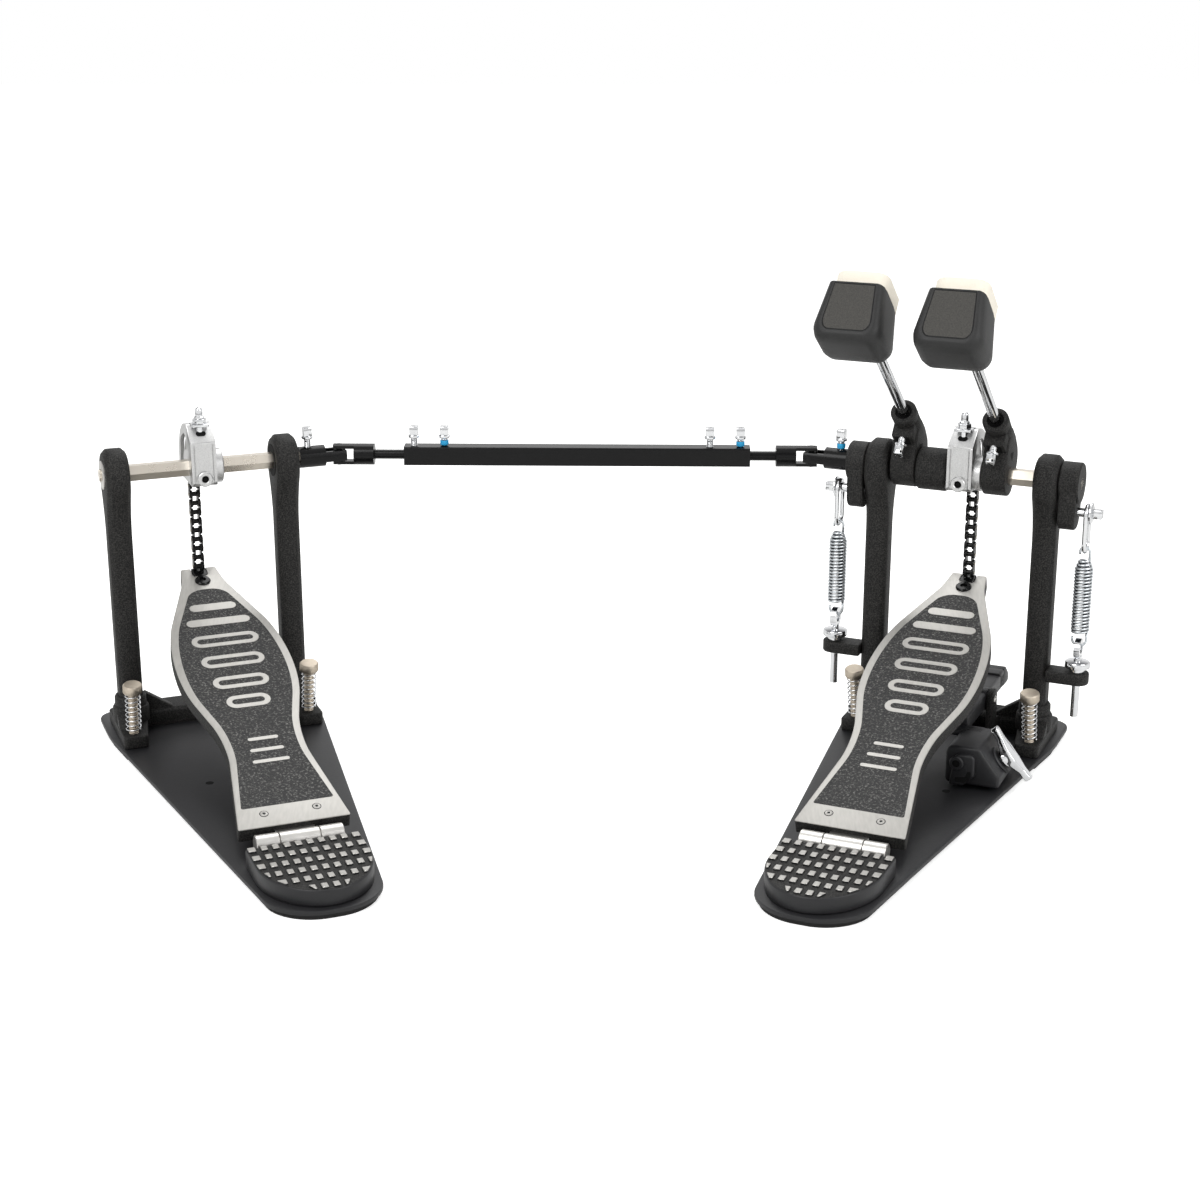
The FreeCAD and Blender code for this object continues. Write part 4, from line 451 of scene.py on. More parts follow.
arc = [math.radians(angle) for angle in range(180, 361, 6)]
disc = slab([(HEEL_HALF, HEEL_FRONT), (-HEEL_HALF, HEEL_FRONT)]
            + [(HEEL_HALF * math.cos(a), HEEL_ROUND + (HEEL_ROUND - HEEL_BACK) * math.sin(a)) for a in arc],
            PLATE_TOP, 12.0)
for vert in disc.verts:
    if vert.co.z > 11:
        vert.co.z = heel_top(vert.co.y)
ease(disc, 1.2, 3, 40)
for face in disc.faces:
    face.material_index = 2 if face.normal.z > 0.9 else 0
tiles = []
for row in range(ROWS):
    y = ROW_START - ROW_STEP * row
    ends = [heel_reach(y - TILE_HALF) - 1.0, heel_reach(y + TILE_HALF) - 1.0]
    for number in range(5):
        low = TILE_START + TILE_STEP * number
        if low > ends[0] - TILE_LEAST:
            continue
        last = low + TILE_STEP > ends[0] - TILE_LEAST
        near, far = [end if last and row < ROWS - 1 else min(end, low + TILE_WIDE) for end in ends]
        for hand in (-1, 1):
            tile = slab([(low * hand, y - TILE_HALF), (near * hand, y - TILE_HALF),
                         (far * hand, y + TILE_HALF), (low * hand, y + TILE_HALF)], -0.2, 1.1)
            ease(tile, 0.25, 1, 60)
            for vert in tile.verts:
                vert.co.z += heel_top(vert.co.y)
            for face in tile.faces:
                face.material_index = 1 if face.normal.z > 0.5 else 0
            tiles.append(tile)
heel = gather(disc, *tiles)


def hinge_tube(length):
    return turned([(2.6, 0), (5.6, 0), (6.0, 0.4), (6.0, length - 0.4), (5.6, length), (2.6, length)], 28)


HINGE_STARTS = (12.3, -26.3)
KNUCKLE = 14.0
leaves = [ease(slab([(low, HEEL_FRONT - 0.5), (low + KNUCKLE, HEEL_FRONT - 0.5), (low + KNUCKLE, HINGE_Y),
                     (low, HINGE_Y)], 9.2, 14.6), 0.3, 1) for low in HINGE_STARTS]
rolled = [placed(hinge_tube(KNUCKLE), Matrix.Translation((low, HINGE_Y, HINGE_Z)) @ along_x)
          for low in HINGE_STARTS]
pin = placed(turned([(0, 0), (2.5, 0), (2.5, 52.6), (0, 52.6)], 20),
             Matrix.Translation((HINGE_STARTS[1], HINGE_Y, HINGE_Z)) @ along_x)
knuckles = gather(*rolled, pin, *leaves)
for side, seat in pedals.items():
    piece(side + "_heel_casting", heel, [sheet_coat, squares_bright, cast_coat], side + "_frame", seat,
          [side + "_heel_plate"])
    piece(side + "_hinge_knuckles", knuckles, [steel], side + "_frame", seat)


# Footboards. One long aluminium casting each, hollow and ribbed underneath, black at the sides
# and machined bright along the rim; a sheet of grit is glued into the tread, with raised bars.
board_seat = Matrix.Translation((0, HINGE_Y, HINGE_Z)) @ Matrix.Rotation(math.radians(17.941), 4, "X")
BOARD_TOP = 4.0


def mirrored_corners(half):
    return half + [(-corner[0], *corner[1:]) for corner in reversed(half)]


def pill(half, v, tall, steps):
    """A round-ended bar across the board."""
    return rounded(half, tall / 2, tall / 2 - 0.02, steps, 0, v)


rim_outline = mirrored_corners([(34, 10.7, 1.2, 3), (22.4, 91.5, 100, 14), (45.5, 178, 150, 22),
                                (14.5, 266, 60, 8), (11.8, 283.5, 1.2, 3), (5.2, 283.5), (5.2, 275.5)])
hollow_outline = mirrored_corners([(30.5, 14.2), (18.9, 91.5, 100, 10), (42, 178, 146.5, 16), (14.5, 252)])
grit_outline = mirrored_corners([(28.2, 28.6, 1.2, 3), (17.8, 91.5, 100, 14), (40.9, 178, 145.4, 22),
                                 (11, 257.5, 12, 8)])
skin = slab(rim_outline, 0.0, BOARD_TOP)
ease(skin, 0.6, 2, 40, lambda edge: min(v.co.z for v in edge.verts) > 3.9)
for face in skin.faces:
    face.material_index = 1 if face.normal.z > 0.35 else 0
walls = slab(rim_outline, -5.0, 0.05, [hollow_outline])
ribs = [slab([(-19.5, v), (19.5, v), (19.5, v + 3), (-19.5, v + 3)], -4.8, 0.1)
        for v in (91.5, 134.7, 178.0, 215.0)]
board = gather(skin, walls, *ribs)
tread = ease(slab(grit_outline, 3.7, 4.12), 0.1, 1, 60)
BAR_TOP, LOOP_TALL, LIP = 4.35, 12.6, 3.6
bars = []
for v, half, tall in ((236, 15.5, 7.6), (219, 21, 7.6), (92, 9.5, 3.0), (81, 10.5, 3.0), (70, 11.5, 3.0)):
    bars.append(slab(pill(half, v, tall, 6), BOARD_TOP, BAR_TOP))
for v, half in ((198, 22), (175, 20.5), (152, 18), (131, 14)):
    bars.append(slab(pill(half, v, LOOP_TALL, 8), BOARD_TOP, BAR_TOP,
                     [pill(half - LIP, v, LOOP_TALL - 2 * LIP, 8)]))
bars = gather(*bars)
screw = turned([(0, 3.9), (5.3, 3.9), (5.3, 4.7), (4.6, 5.5), (2.3, 5.6), (2.3, 4.3), (0, 4.3)], 24)
# The rivet heads carry painted shade: a dark ring for the groove round each head and a dark disc in its
# hollow centre.
rivet_head = gather(turned([(0, 3.9), (2.3, 3.9), (2.3, 4.2), (1.5, 4.5), (1.2, 4.5), (1.0, 4.2),
                            (0, 4.2)], 18),
                    painted(turned([(2.3, 3.9), (2.8, 3.9), (2.8, 4.03), (2.3, 4.03)], 18), 1),
                    painted(turned([(0, 4.1), (0.95, 4.1), (0.95, 4.25), (0, 4.25)], 12), 1))
rivets = gather(moved(rivet_head, -16, 22, 0), moved(rivet_head, 16, 22, 0))
strap = ease(slab([(-4.9, 273.5), (4.9, 273.5), (4.9, 283.2), (-4.9, 283.2)], -2.0, 4.2), 0.5, 2)
bridge = ease(slab([(-12, -0.5), (12, -0.5), (12, 36), (-12, 36)], -2.5, 0.02), 0.4, 1)
barrel = gather(placed(hinge_tube(24.0), Matrix.Translation((-12, 0, 0)) @ along_x), bridge)

# Grit: dark grains about 0.7 mm across in black resin, a few of them glinting.
grit, tree, spot = blank("grit_sheet")
grains = add(tree, "TexVoronoi", {"Vector": spot, "Scale": 1100.0}, feature="F1")
glint = stretched(tree, noise(tree, spot, 700.0, 2.0, 0.7), 0.52, 0.74)
surface(tree, between(tree, glint, "#262626", "#767572"), 0.74,
        Normal=relief(tree, grains.outputs["Distance"], 0.7, 0.0005, invert=True))

# Machined rim: satin aluminium with a faint cutter grain along the board.
satin, tree, spot = blank("satin_machined_aluminium")
turn = add(tree, "Mapping", {"Vector": spot, "Scale": (1, 0.2, 0.2)})
cutter = noise(tree, turn.outputs[0], 620.0, 3.0)
surface(tree, between(tree, cutter, "#a3a19d", "#bfbdb8"), ranged(tree, cutter, 0.4, 0.54), Metallic=0.75,
        Normal=relief(tree, cutter, 0.12, 0.0001))

# Black oxide on steel: deep black with a soft oily shine.
oxide, tree, spot = blank("black_oxide_steel")
film = noise(tree, spot, 160.0, 4.0, 0.65)
surface(tree, between(tree, film, "#070707", "#101011"), ranged(tree, film, 0.16, 0.28), IOR=1.5,
        Specular_IOR_Level=0.2)
for side, seat in pedals.items():
    lean = seat @ board_seat
    body = side + "_footboard"
    piece(side + "_board_casting", board, [cast_coat, satin], body, lean, [body])
    piece(side + "_grit_tread", tread, [grit], body, lean)
    piece(side + "_tread_bars", bars, [satin], body, lean)
    piece(side + "_tip_screw", moved(screw, 0, 267.5, 0), [oxide], body, lean)
    piece(side + "_band_rivets", rivets, [satin, oxide], body, lean)
    piece(side + "_tip_strap", strap, [oxide], body, lean)
    piece(side + "_hinge_barrel", barrel, [steel], body, lean)


# Roller chain. A quarter-inch chain in three runs: hanging to the board, leading on to the cam,
# and wrapped over it. Waisted black side plates, black rollers and bright riveted pins.
# The pins are nickel plated, warm grey and bright.
nickel = plated("nickel_plate", 420.0, 3.0, ("#b3ada2", "#d8d2c6"), (0.14, 0.28))
PITCH = 6.35
CHAIN_R = 27.0
PLATE_THICK = 0.95
side_plate = slab([(-2.7, -2.7, 2.6, 5), (2.1, -2.7, 0.9, 2), (3.175, -1.6, 1.2, 2), (4.25, -2.7, 0.9, 2),
                   (9.05, -2.7, 2.6, 5), (9.05, 2.7, 2.6, 5), (4.25, 2.7, 0.9, 2), (3.175, 1.6, 1.2, 2),
                   (2.1, 2.7, 0.9, 2), (-2.7, 2.7, 2.6, 5)], 0, PLATE_THICK)
roller = turned([(0.9, -1.55), (1.65, -1.55), (1.65, 1.55), (0.9, 1.55)], 14)
rivet = painted(turned([(0, -4.15), (0.75, -4.15), (1.0, -3.95), (1.0, 3.95), (0.75, 4.15), (0, 4.15)],
                       12), 1)


def chain_link(a, b, outer):
    """A link between two pins in Y and Z: plates, with rollers in an inner link, pins in an outer one."""
    run = Vector((0, b[0] - a[0], b[1] - a[1])).normalized()
    turn = Matrix(((0, 0, 1, 0), (run.y, -run.z, 0, 0), (run.z, run.y, 0, 0), (0, 0, 0, 1)))
    start = 2.7 if outer else 1.6
    made = [moved(side_plate, 0, 0, z) for z in (start, -start - PLATE_THICK)]
    made += [moved(rivet if outer else roller, reach, 0, 0) for reach in (0, PITCH)]
    return placed(gather(*made), Matrix.Translation((0, *a)) @ turn)


step = 2 * math.asin(PITCH / (2 * CHAIN_R))
hanging = [(CHAIN_R, 102.05 + i * PITCH) for i in range(14)]
wrapped = [(CHAIN_R * math.cos(i * step), AXLE + CHAIN_R * math.sin(i * step)) for i in range(7)]
runs = {
    "hanging": gather(*[chain_link(hanging[i], hanging[i + 1], i % 2 == 1) for i in range(13)]),
    "lead": gather(*[chain_link(wrapped[i], wrapped[i + 1], i % 2 == 0) for i in range(2)]),
    "top": gather(*[chain_link(wrapped[i], wrapped[i + 1], i % 2 == 0) for i in range(2, 6)]),
}
for side, seat in pedals.items():
    for run_name, links in runs.items():
        body = side + ("_shaft" if run_name == "top" else "_chain_" + run_name)
        piece(f"{side}_{run_name}_links", links, [oxide, nickel], body, seat,
              [f"{side}_chain_{run_name}"])


# Cams. A channelled block of bead-blasted aluminium on each hexagon shaft: two cheeks, a round
# floor for the chain, a clamping hub at one side and a set-screw boss in front.
# The blasting leaves fine even pits and a soft silver sheen.
blasted, tree, spot = blank("bead_blasted_aluminium")
pits = noise(tree, spot, 1500.0)
cloud = noise(tree, spot, 60.0)
surface(tree, between(tree, pits, "#b4b4b4", "#dededd"), ranged(tree, cloud, 0.32, 0.44), Metallic=1.0,
        Normal=relief(tree, pits, 0.25, 0.0001))
CAM_HALF, CAM_INNER = 8.25, 5.65
cheek = [(-14, -10.4, 2.6, 4), (29.2, -10.4, 2.6, 4), (29.2, 29.2, 29.0, 26), (-1.5, 29.2), (-14, 19, 2.6, 4)]
window = [(-4, 15, 1.5, 3), (7, 22.5, 6, 4), (20.5, 16, 8, 5), (24.5, -5, 2, 3), (15, -5, 2, 3),
          (11.5, 10, 9, 5), (-2, 12.5, 1, 3)]
core = [(-13.8, -10.2, 2.4, 4), (22.6, -10.2, 1, 2), (22.6, 22.6, 22.4, 20), (-1.6, 22.6),
        (-13.8, 18.9, 2.4, 4)]
front = [(-14, -10.4, 2.6, 4), (-7, -10.4), (-1.5, 29.2), (-3, 28), (-14, 19, 2.6, 4)]
face_block = placed(slab(front, -CAM_HALF, CAM_HALF), upright)
ease(face_block, 1.8, 3, 60, lambda edge: max(v.co.y for v in edge.verts) < -13.9)
ease(face_block, 0.5, 2, 40)
slope = Matrix.Translation((0, -8.2, 23.9)) @ Matrix.Rotation(math.atan2(10.2, 12.5), 4, "X")
set_boss = Matrix.Translation((0, -14, -5.2)) @ toward_player
# Painted shade: a dark oval on the slope for the hollow of the slot, and a dark disc in the set-screw ring
# for its hole.
slot_shade = slab(rounded(3.2, 1.9, 1.8, 5), 0.0, 0.25)
cam_hub = turned([(5.8, 8.0), (11.5, 8.0), (11.5, 13.0), (10.8, 13.75), (5.8, 13.75)], 40)
screw_ring = turned([(2.3, -0.5), (5.0, -0.5), (5.0, 1.7), (4.5, 2.2), (2.7, 2.2), (2.3, 1.8)], 28)
screw_hole_shade = turned([(0, 0.4), (2.4, 0.4), (2.4, 0.5), (0, 0.5)], 20)
cam_block = gather(placed(slab(cheek, CAM_INNER, CAM_HALF, [window]), upright),
                   placed(slab(cheek, -CAM_HALF, -CAM_INNER, [window]), upright),
                   placed(slab(core, -5.7, 5.7), upright), face_block, placed(cam_hub, along_x),
                   placed(screw_ring, set_boss), painted(placed(screw_hole_shade, set_boss), 1),
                   painted(placed(slot_shade, slope), 1))
for side, seat in pedals.items():
    piece(side + "_cam_block", cam_block, [blasted, painted_hole_shade], side + "_shaft",
          seat @ Matrix.Translation((0, 0, AXLE)), [side + "_cam"])


# Shafts. Drawn hexagon bar, warm nickel plated, with journals turned on its ends;
# the sleeve on the right one is the second beater's own axle.
# The plate is cream coloured and satin.
drawn = plated("drawn_nickel_bar", 45.0, 2.0, ("#ded5c7", "#e9e2d6"), (0.24, 0.32))


def dress(coat, *names):
    """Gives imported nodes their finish."""
    for name in names:
        nodes[name].data.materials.clear()
        nodes[name].data.materials.append(coat)


dress(drawn, "right_hex_shaft", "left_hex_shaft")
sleeve = placed(turned([(4.6, -30.2), (12.6, -30.2), (14.0, -28.8), (14.0, -11.4), (13.2, -9.8), (12.0, -9.0),
                        (4.6, -9.0)], 48), along_x)
axle = placed(turned([(0, -92.9), (3.6, -92.9), (4.0, -92.5), (4.0, -46.3), (4.5, -46.3), (4.5, -30.2),
                      (0, -30.2)], 28), along_x)
shaft_seat = pedals["right"] @ Matrix.Translation((0, 0, AXLE))
piece("second_axle_sleeve", gather(sleeve, painted(axle, 1)), [cast_coat, drawn], "second_shaft", shaft_seat,
      ["second_sleeve"])


# Beater hubs. A clamp collar on the shaft that rises behind it into a round boss for the
# beater rod; a square-headed bolt pinches the rod from the front and a set screw holds the shaft.
HUB_WIDE = 16
beaters = {"main": (14.4, 1, "right_shaft"), "second": (-46.3, -1, "second_shaft")}
LEAN = Matrix.Rotation(math.radians(52), 4, "X")
lean_seat = shaft_seat @ LEAN
for name, (start, hand, body) in beaters.items():
    middle = start + HUB_WIDE / 2
    cheeks = placed(slab([(-13, -13, 12.8, 12), (22, -13, 12.8, 12), (26.3, 6, 2, 3), (26.3, 20, 2, 3),
                          (13.4, 20, 3, 3), (-13, 13, 12.8, 12)], start, start + HUB_WIDE), upright)
    ease(cheeks, 1.1, 3, 50)
    jaw = slab([(middle - 7, 7.6), (middle + 7, 7.6), (middle + 7, 22), (middle - 7, 22)], 6, 28.8)
    ease(jaw, 1.0, 2)
    boss = turned([(5.4, 34.8), (5.4, 36.6), (5.8, 37), (7.8, 37), (8.6, 36.2), (8.6, 29.4), (8.0, 28.8),
                   (8.4, 28.2), (8.4, 5), (7.6, 4), (3.6, 4), (3.6, 34.8), (5.4, 34.8)], 36)
    # Painted shade on the floor of the rod's hole in the boss.
    for face in boss.faces:
        if face.calc_center_median().xy.length < 5.3 and face.normal.z > 0.9:
            face.material_index = 1
    placed(boss, Matrix.Translation((middle, 22, 0)))
    # Painted shade: a dark patch on the jaw's front for the pocket round the pinch bolt, a dark triangle
    # through the cheeks for a side recess, and a dark disc in the set screw's socket.
    pocket_shade = slab([(middle - 4.8, 7.5), (middle + 4.8, 7.5), (middle + 4.8, 7.7), (middle - 4.8, 7.7)],
                  17, 27.6)
    notch_shade = placed(slab([(9, 3, 0.8, 2), (16, 4, 0.8, 2), (10.5, 12, 0.8, 2)],
                        start - 0.06, start + HUB_WIDE + 0.06), upright)
    socket = Matrix.Translation((middle, 0, 0)) @ Matrix.Rotation(math.radians(152), 4, "X")
    set_ring = placed(turned([(1.9, 12.6), (3.0, 12.6), (3.0, 13.2), (2.6, 13.5), (1.9, 13.5)], 24), socket)
    set_hole_shade = placed(turned([(0, 12.9), (2.0, 12.9), (2.0, 13.0), (0, 13.0)], 18), socket)
    hub = gather(cheeks, jaw, boss, painted(pocket_shade, 1), painted(notch_shade, 1), set_ring, painted(set_hole_shade, 1))
    piece(name + "_rod_clamp", hub, [cast_coat, painted_hole_shade], body, lean_seat,
          [name + "_beater_hub"])


# Beaters. A chromed rod with a moulded plastic head; the striking face is a block of pressed
# white felt held in the front of the shell. The player's side has a plain framed panel.
# Bright chrome: a clean mirror with hardly any haze.
chrome = plated("bright_chrome", 120.0, 2.0, ("#cfd0d2", "#e6e7e8"), (0.05, 0.12))
dress(chrome, "main_beater_rod", "second_beater_rod", "main_swivel", "second_swivel", "eye_bolts")


def grained(name, dark, pale, strength):
    """Moulded ABS with a fine spark-eroded grain, about 0.6 mm."""
    made, tree, spot = blank(name)
    grain = noise(tree, spot, 1300.0, 2.0, 0.55)
    cloud = noise(tree, spot, 40.0, 3.0)
    surface(tree, between(tree, grain, dark, pale), ranged(tree, cloud, 0.44, 0.58), Specular_IOR_Level=0.36,
            Normal=relief(tree, grain, strength, 0.0002))
    return made


# The shell is nearly black; the panel has a coarser grain and a paler tone, painted light for the sheen of
# its rough face.
moulded = grained("grained_abs", "#161616", "#2b2b2b", 0.3)
panel_sheen_abs = grained("textured_abs_painted_sheen", "#1c1b1a", "#4a4843", 0.7)

# Pressed wool felt: ivory, matted fibres about 0.5 mm wide and a soft fuzz at the edges.
felt, tree, spot = blank("pressed_wool_felt")
fibres = noise(tree, spot, 1500.0, 4.0, 0.75, Distortion=2.0)
surface(tree, between(tree, fibres, "#eae1ce", "#faf5e9"), 0.95, Sheen_Weight=0.4, Sheen_Roughness=0.5,
        Normal=relief(tree, fibres, 0.5, 0.0004))
SHELL_HALF, SHELL_FRONT = 22.0, 31.0
# Each row of the shell: its height along the rod, and how far its sides and back are drawn in.
SHELL_ROWS = ((145, 7.0, 8.0), (146.2, 4.6, 4.4), (149.5, 2.2, 0.4), (155.5, 0.6, -3.6), (163, 0, -5.6),
              (181, 0, -6.4), (186, 0.8, -6.0), (188.4, 2.2, -4.9), (189.6, 3.8, -3.5), (190, 5.0, -2.4))
outline = profile([(SHELL_HALF, 0, 9, 7), (SHELL_HALF, SHELL_FRONT), (-SHELL_HALF, SHELL_FRONT),
                   (-SHELL_HALF, 0, 9, 7)])
base = [vert.co.copy() for vert in outline.faces[:][0].verts]
outline.free()
for name, (start, hand, body) in beaters.items():
    centre = start + HUB_WIDE / 2
    shell = bmesh.new()
    rows = []
    for rise, side_in, back_in in SHELL_ROWS:
        row = []
        for co in base:
            forward = co.y / SHELL_FRONT
            across = co.x * (1 - side_in / SHELL_HALF) * (1 - 0.2 * forward ** 1.3)
            row.append(shell.verts.new((centre + across, back_in + co.y * (1 - back_in / SHELL_FRONT), rise)))
        rows.append(row)
    for lower, upper in zip(rows, rows[1:]):
        for i in range(len(base)):
            shell.faces.new((lower[i - 1], lower[i], upper[i], upper[i - 1]))
    shell.faces.new(rows[0])
    panel = shell.faces.new(rows[-1])
    bmesh.ops.recalc_face_normals(shell, faces=shell.faces)
    for thickness, depth in ((1.2, 0.0), (0.5, -0.45), (0.5, 0.45)):
        bmesh.ops.inset_region(shell, faces=[panel], thickness=thickness, depth=depth)
    # The panel takes the paler plastic, its lighter tone a painted sheen.
    panel.material_index = 1
    piece(name + "_head_shell", shell, [moulded, panel_sheen_abs], name + "_beater", lean_seat,
          [name + "_beater_shell"])
    pad = placed(slab(rounded(16.5, 19, 8, 8, centre, 164), -43.0, -30.9), toward_player)
    ease(pad, 1.6, 4, 60)
    striker = piece(name + "_head_felt", pad, [felt], name + "_beater", lean_seat,
                    [name + "_beater_felt"])


# Rockers. Cast arms on the outer ends of both axles; a square-ended bolt through each foot
# carries the oval wire ring that pulls the return spring.
for name, (start, hand, body) in beaters.items():
    boss = turned([(0, 64.35), (12.6, 64.35), (13.5, 65.2), (13.5, 76.5), (12.6, 77.35), (0, 77.35)], 44)
    placed(boss, Matrix.Rotation(math.radians(90 * hand), 4, "Y"))
    low, high = sorted((65.0 * hand, 76.0 * hand))
    arm = slab([(12.6, 0), (-13.2, 0), (-12.5, -30, 8.4, 10), (4.5, -30, 8.4, 10)], low, high)
    rocker = gather(boss, ease(placed(arm, upright), 1.4, 3, 50))
    piece(name + "_rocker_arm", rocker, [cast_coat], body, shaft_seat, [name + "_rocker"])


# Key bolts. Square-headed bolts for a drum key: rolled thread, a turned flange and a chamfered
# head, chrome plated. Three of them carry a ring of blue nylon that locks the thread.
def thread(radius, low, high, pitch=0.9, depth=0.35):
    """Points of a rolled thread's outline, as closed ridges."""
    count = int((high - low) / pitch)
    points = []
    for i in range(count):
        points += [(radius - depth, low + i * pitch), (radius, low + (i + 0.5) * pitch)]
    return points + [(radius - depth, high)]


def square_head(low, high):
    return ease(slab(rounded(2.9, 2.9, 0.4, 2), low, high), 0.7, 3, 60)


shank = turned([(0, -3.0)] + thread(2.4, -3.0, 5.5)
               + [(3.6, 5.5), (3.9, 5.8), (3.9, 6.8), (3.4, 7.2), (0, 7.2)], 24)
key_bolt = gather(shank, square_head(7.1, 13.3))
patch = turned([(2.2, 0.6), (2.75, 0.6), (2.85, 1.0), (2.85, 3.4), (2.75, 3.8), (2.2, 3.8)], 20)

# Blue nylon: clear sky blue, slightly mottled, with a dull shine.
nylon, tree, spot = blank("blue_nylon")
surface(tree, between(tree, noise(tree, spot, 500.0), "#1286bd", "#2fb0e4"), 0.5)

TUBE_TOP, YOKE_TOP = 6.35, 7.2
TUBE_BOLTS = (51.0, 71.5, 250.5, 271.0)
LEFT_YOKE_BOLT, RIGHT_YOKE_BOLT = 72.75, -84.45
link_turn = Matrix.Rotation(math.radians(-1.17), 4, "Z")
link_seat = Matrix.Translation((-0.16532, 0.15826, 0.1846)) @ link_turn @ MM
tube_bolts = gather(*[moved(key_bolt, x, 0, TUBE_TOP) for x in TUBE_BOLTS])
tube_patches = gather(*[moved(patch, x, 0, TUBE_TOP) for x in TUBE_BOLTS[1::2]])
piece("linkage_bolts", tube_bolts, [chrome], "linkage", link_seat, ["linkage_key_bolts"])
piece("linkage_bolt_patches", tube_patches, [nylon], "linkage", link_seat)
keeper = ease(slab(rounded(5.6, 4.4, 0.8, 2), 0.6, 2.6), 0.4, 2)
sixths = [math.radians(angle) for angle in range(0, 360, 60)]
hex_nut = ease(slab([(4.7 * math.cos(a), 4.7 * math.sin(a)) for a in sixths], 2.6, 6.0), 0.5, 2)
pin_end = turned([(0, -3.0), (2.4, -3.0), (2.4, 6.0), (3.4, 6.2), (3.4, 7.0), (2.5, 7.6), (2.5, 11.6),
                  (1.9, 12.8), (0.9, 13.3), (0, 13.3)], 24)
cam_bolt = placed(gather(pin_end, keeper, hex_nut), Matrix.Translation((0, -5.2, 27.7)))
piece("left_bolts", gather(cam_bolt.copy(), moved(key_bolt, LEFT_YOKE_BOLT, 0, YOKE_TOP)), [chrome],
      "left_shaft", pedals["left"] @ Matrix.Translation((0, 0, AXLE)), ["left_key_bolts"])
for name, (start, hand, body) in beaters.items():
    pinch = placed(key_bolt.copy(),
                   LEAN @ Matrix.Translation((start + HUB_WIDE / 2, 9.0, 26.0)) @ toward_player)
    swing = gather(turned([(0, 64.4), (3.0, 64.4), (3.0, 84.8), (7.0, 84.8), (7.0, 85.7), (5.6, 86.4),
                           (0, 86.4)], 28), square_head(86.3, 92.6))
    placed(swing, Matrix.Translation((0, -4, -18)) @ Matrix.Rotation(math.radians(90 * hand), 4, "Y"))
    extra = cam_bolt.copy() if name == "main" else moved(key_bolt, RIGHT_YOKE_BOLT, 0, YOKE_TOP)
    piece(name + "_bolts", gather(pinch, swing, extra), [chrome], body, shaft_seat,
          [name + "_key_bolts"])
piece("yoke_bolt_patch", moved(patch, RIGHT_YOKE_BOLT, 0, YOKE_TOP), [nylon], "second_shaft", shaft_seat)


# Return springs. Close-wound zinc-plated wire with a narrowed top and a hook at each end, between the
# eye of the tension bolt and the swivel ring; they stretch as the rocker swings up.
# The zinc is a cool pale grey.
zinc = plated("zinc_plated_wire", 300.0, 3.0, ("#c0c5c9", "#e2e6e8"), (0.28, 0.4))

# The inner and under sides of the turns are darker, where neighbours keep the light out.
shaded_wire, tree, spot = blank("zinc_between_turns")
surface(tree, between(tree, noise(tree, spot, 300.0, 3.0), "#4a4e53", "#74797f"), 0.5, Metallic=1.0)
SPRING_X, SPRING_Y = 83, -4
SPRING_LOW, SPRING_HIGH, SPRING_TURNS = 85.5, 135.5, 22


def close_ends(shape):
    """Closes a wire's open ends and turns its faces outward."""
    bmesh.ops.holes_fill(shape, edges=[edge for edge in shape.edges if len(edge.link_faces) == 1])
    bmesh.ops.recalc_face_normals(shape, faces=shape.faces)
    return shape


def coil(wire, radius, low, high, turns, steps=28):
    """Wire wound upwards about Z."""
    shape = bmesh.new()
    seat = Matrix.Translation((radius, 0, low)) @ toward_player
    ring = bmesh.ops.create_circle(shape, cap_ends=False, segments=10, radius=wire, matrix=seat)["verts"]
    count = int(turns * steps)
    bmesh.ops.spin(shape, geom=ring + shape.edges[:], cent=(0, 0, 0), axis=(0, 0, 1),
                   dvec=(0, 0, (high - low) / count), angle=2 * math.pi * turns, steps=count)
    return close_ends(shape)


def hook(wire, radius, centre, up, leg):
    """A half-round hook in the XZ plane with a leg at each end."""
    shape = bmesh.new()
    ring = bmesh.ops.create_circle(shape, cap_ends=False, segments=8, radius=wire,
                                   matrix=Matrix.Translation((radius, 0, centre)))["verts"]
    bmesh.ops.spin(shape, geom=ring + shape.edges[:], cent=(0, 0, centre), axis=(0, -1 if up else 1, 0),
                   angle=math.pi, steps=16)
    for end, length in ((1, leg), (-1, 1.5)):
        loop = [edge for edge in shape.edges if len(edge.link_faces) == 1 and edge.verts[0].co.x * end > 0]
        grown = bmesh.ops.extrude_edge_only(shape, edges=loop)
        tip = [item for item in grown["geom"] if isinstance(item, bmesh.types.BMVert)]
        bmesh.ops.translate(shape, vec=(0, 0, -length if up else length), verts=tip)
    return close_ends(shape)


for name, (start, hand, body) in beaters.items():
    winding = coil(0.88, 5.2, SPRING_LOW, SPRING_HIGH, SPRING_TURNS)
    for face in winding.faces:
        inner = face.calc_center_median().xy.length < 5.1
        face.material_index = 1 if inner or face.normal.z < -0.55 else 0
    for vert in winding.verts:
        into_top = max(0.0, (vert.co.z - SPRING_HIGH + 6.0) / 6.0)
        into_foot = max(0.0, (SPRING_LOW + 2.0 - vert.co.z) / 2.0)
        vert.co.xy *= 1 - 0.38 * into_top - 0.12 * into_foot
    spring = gather(winding, hook(0.85, 4.6, 81.4, False, 4.6), hook(0.85, 3.2, 140.6, True, 5.4))
    item = piece(name + "_return_spring", spring, [zinc, shaded_wire], None,
                 pedals["right"] @ Matrix.Translation((SPRING_X * hand, SPRING_Y, 0)),
                 [name + "_spring"], 180)
    foot = pedals["right"] @ Vector((SPRING_X * hand, SPRING_Y, 86))
    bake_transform(item)


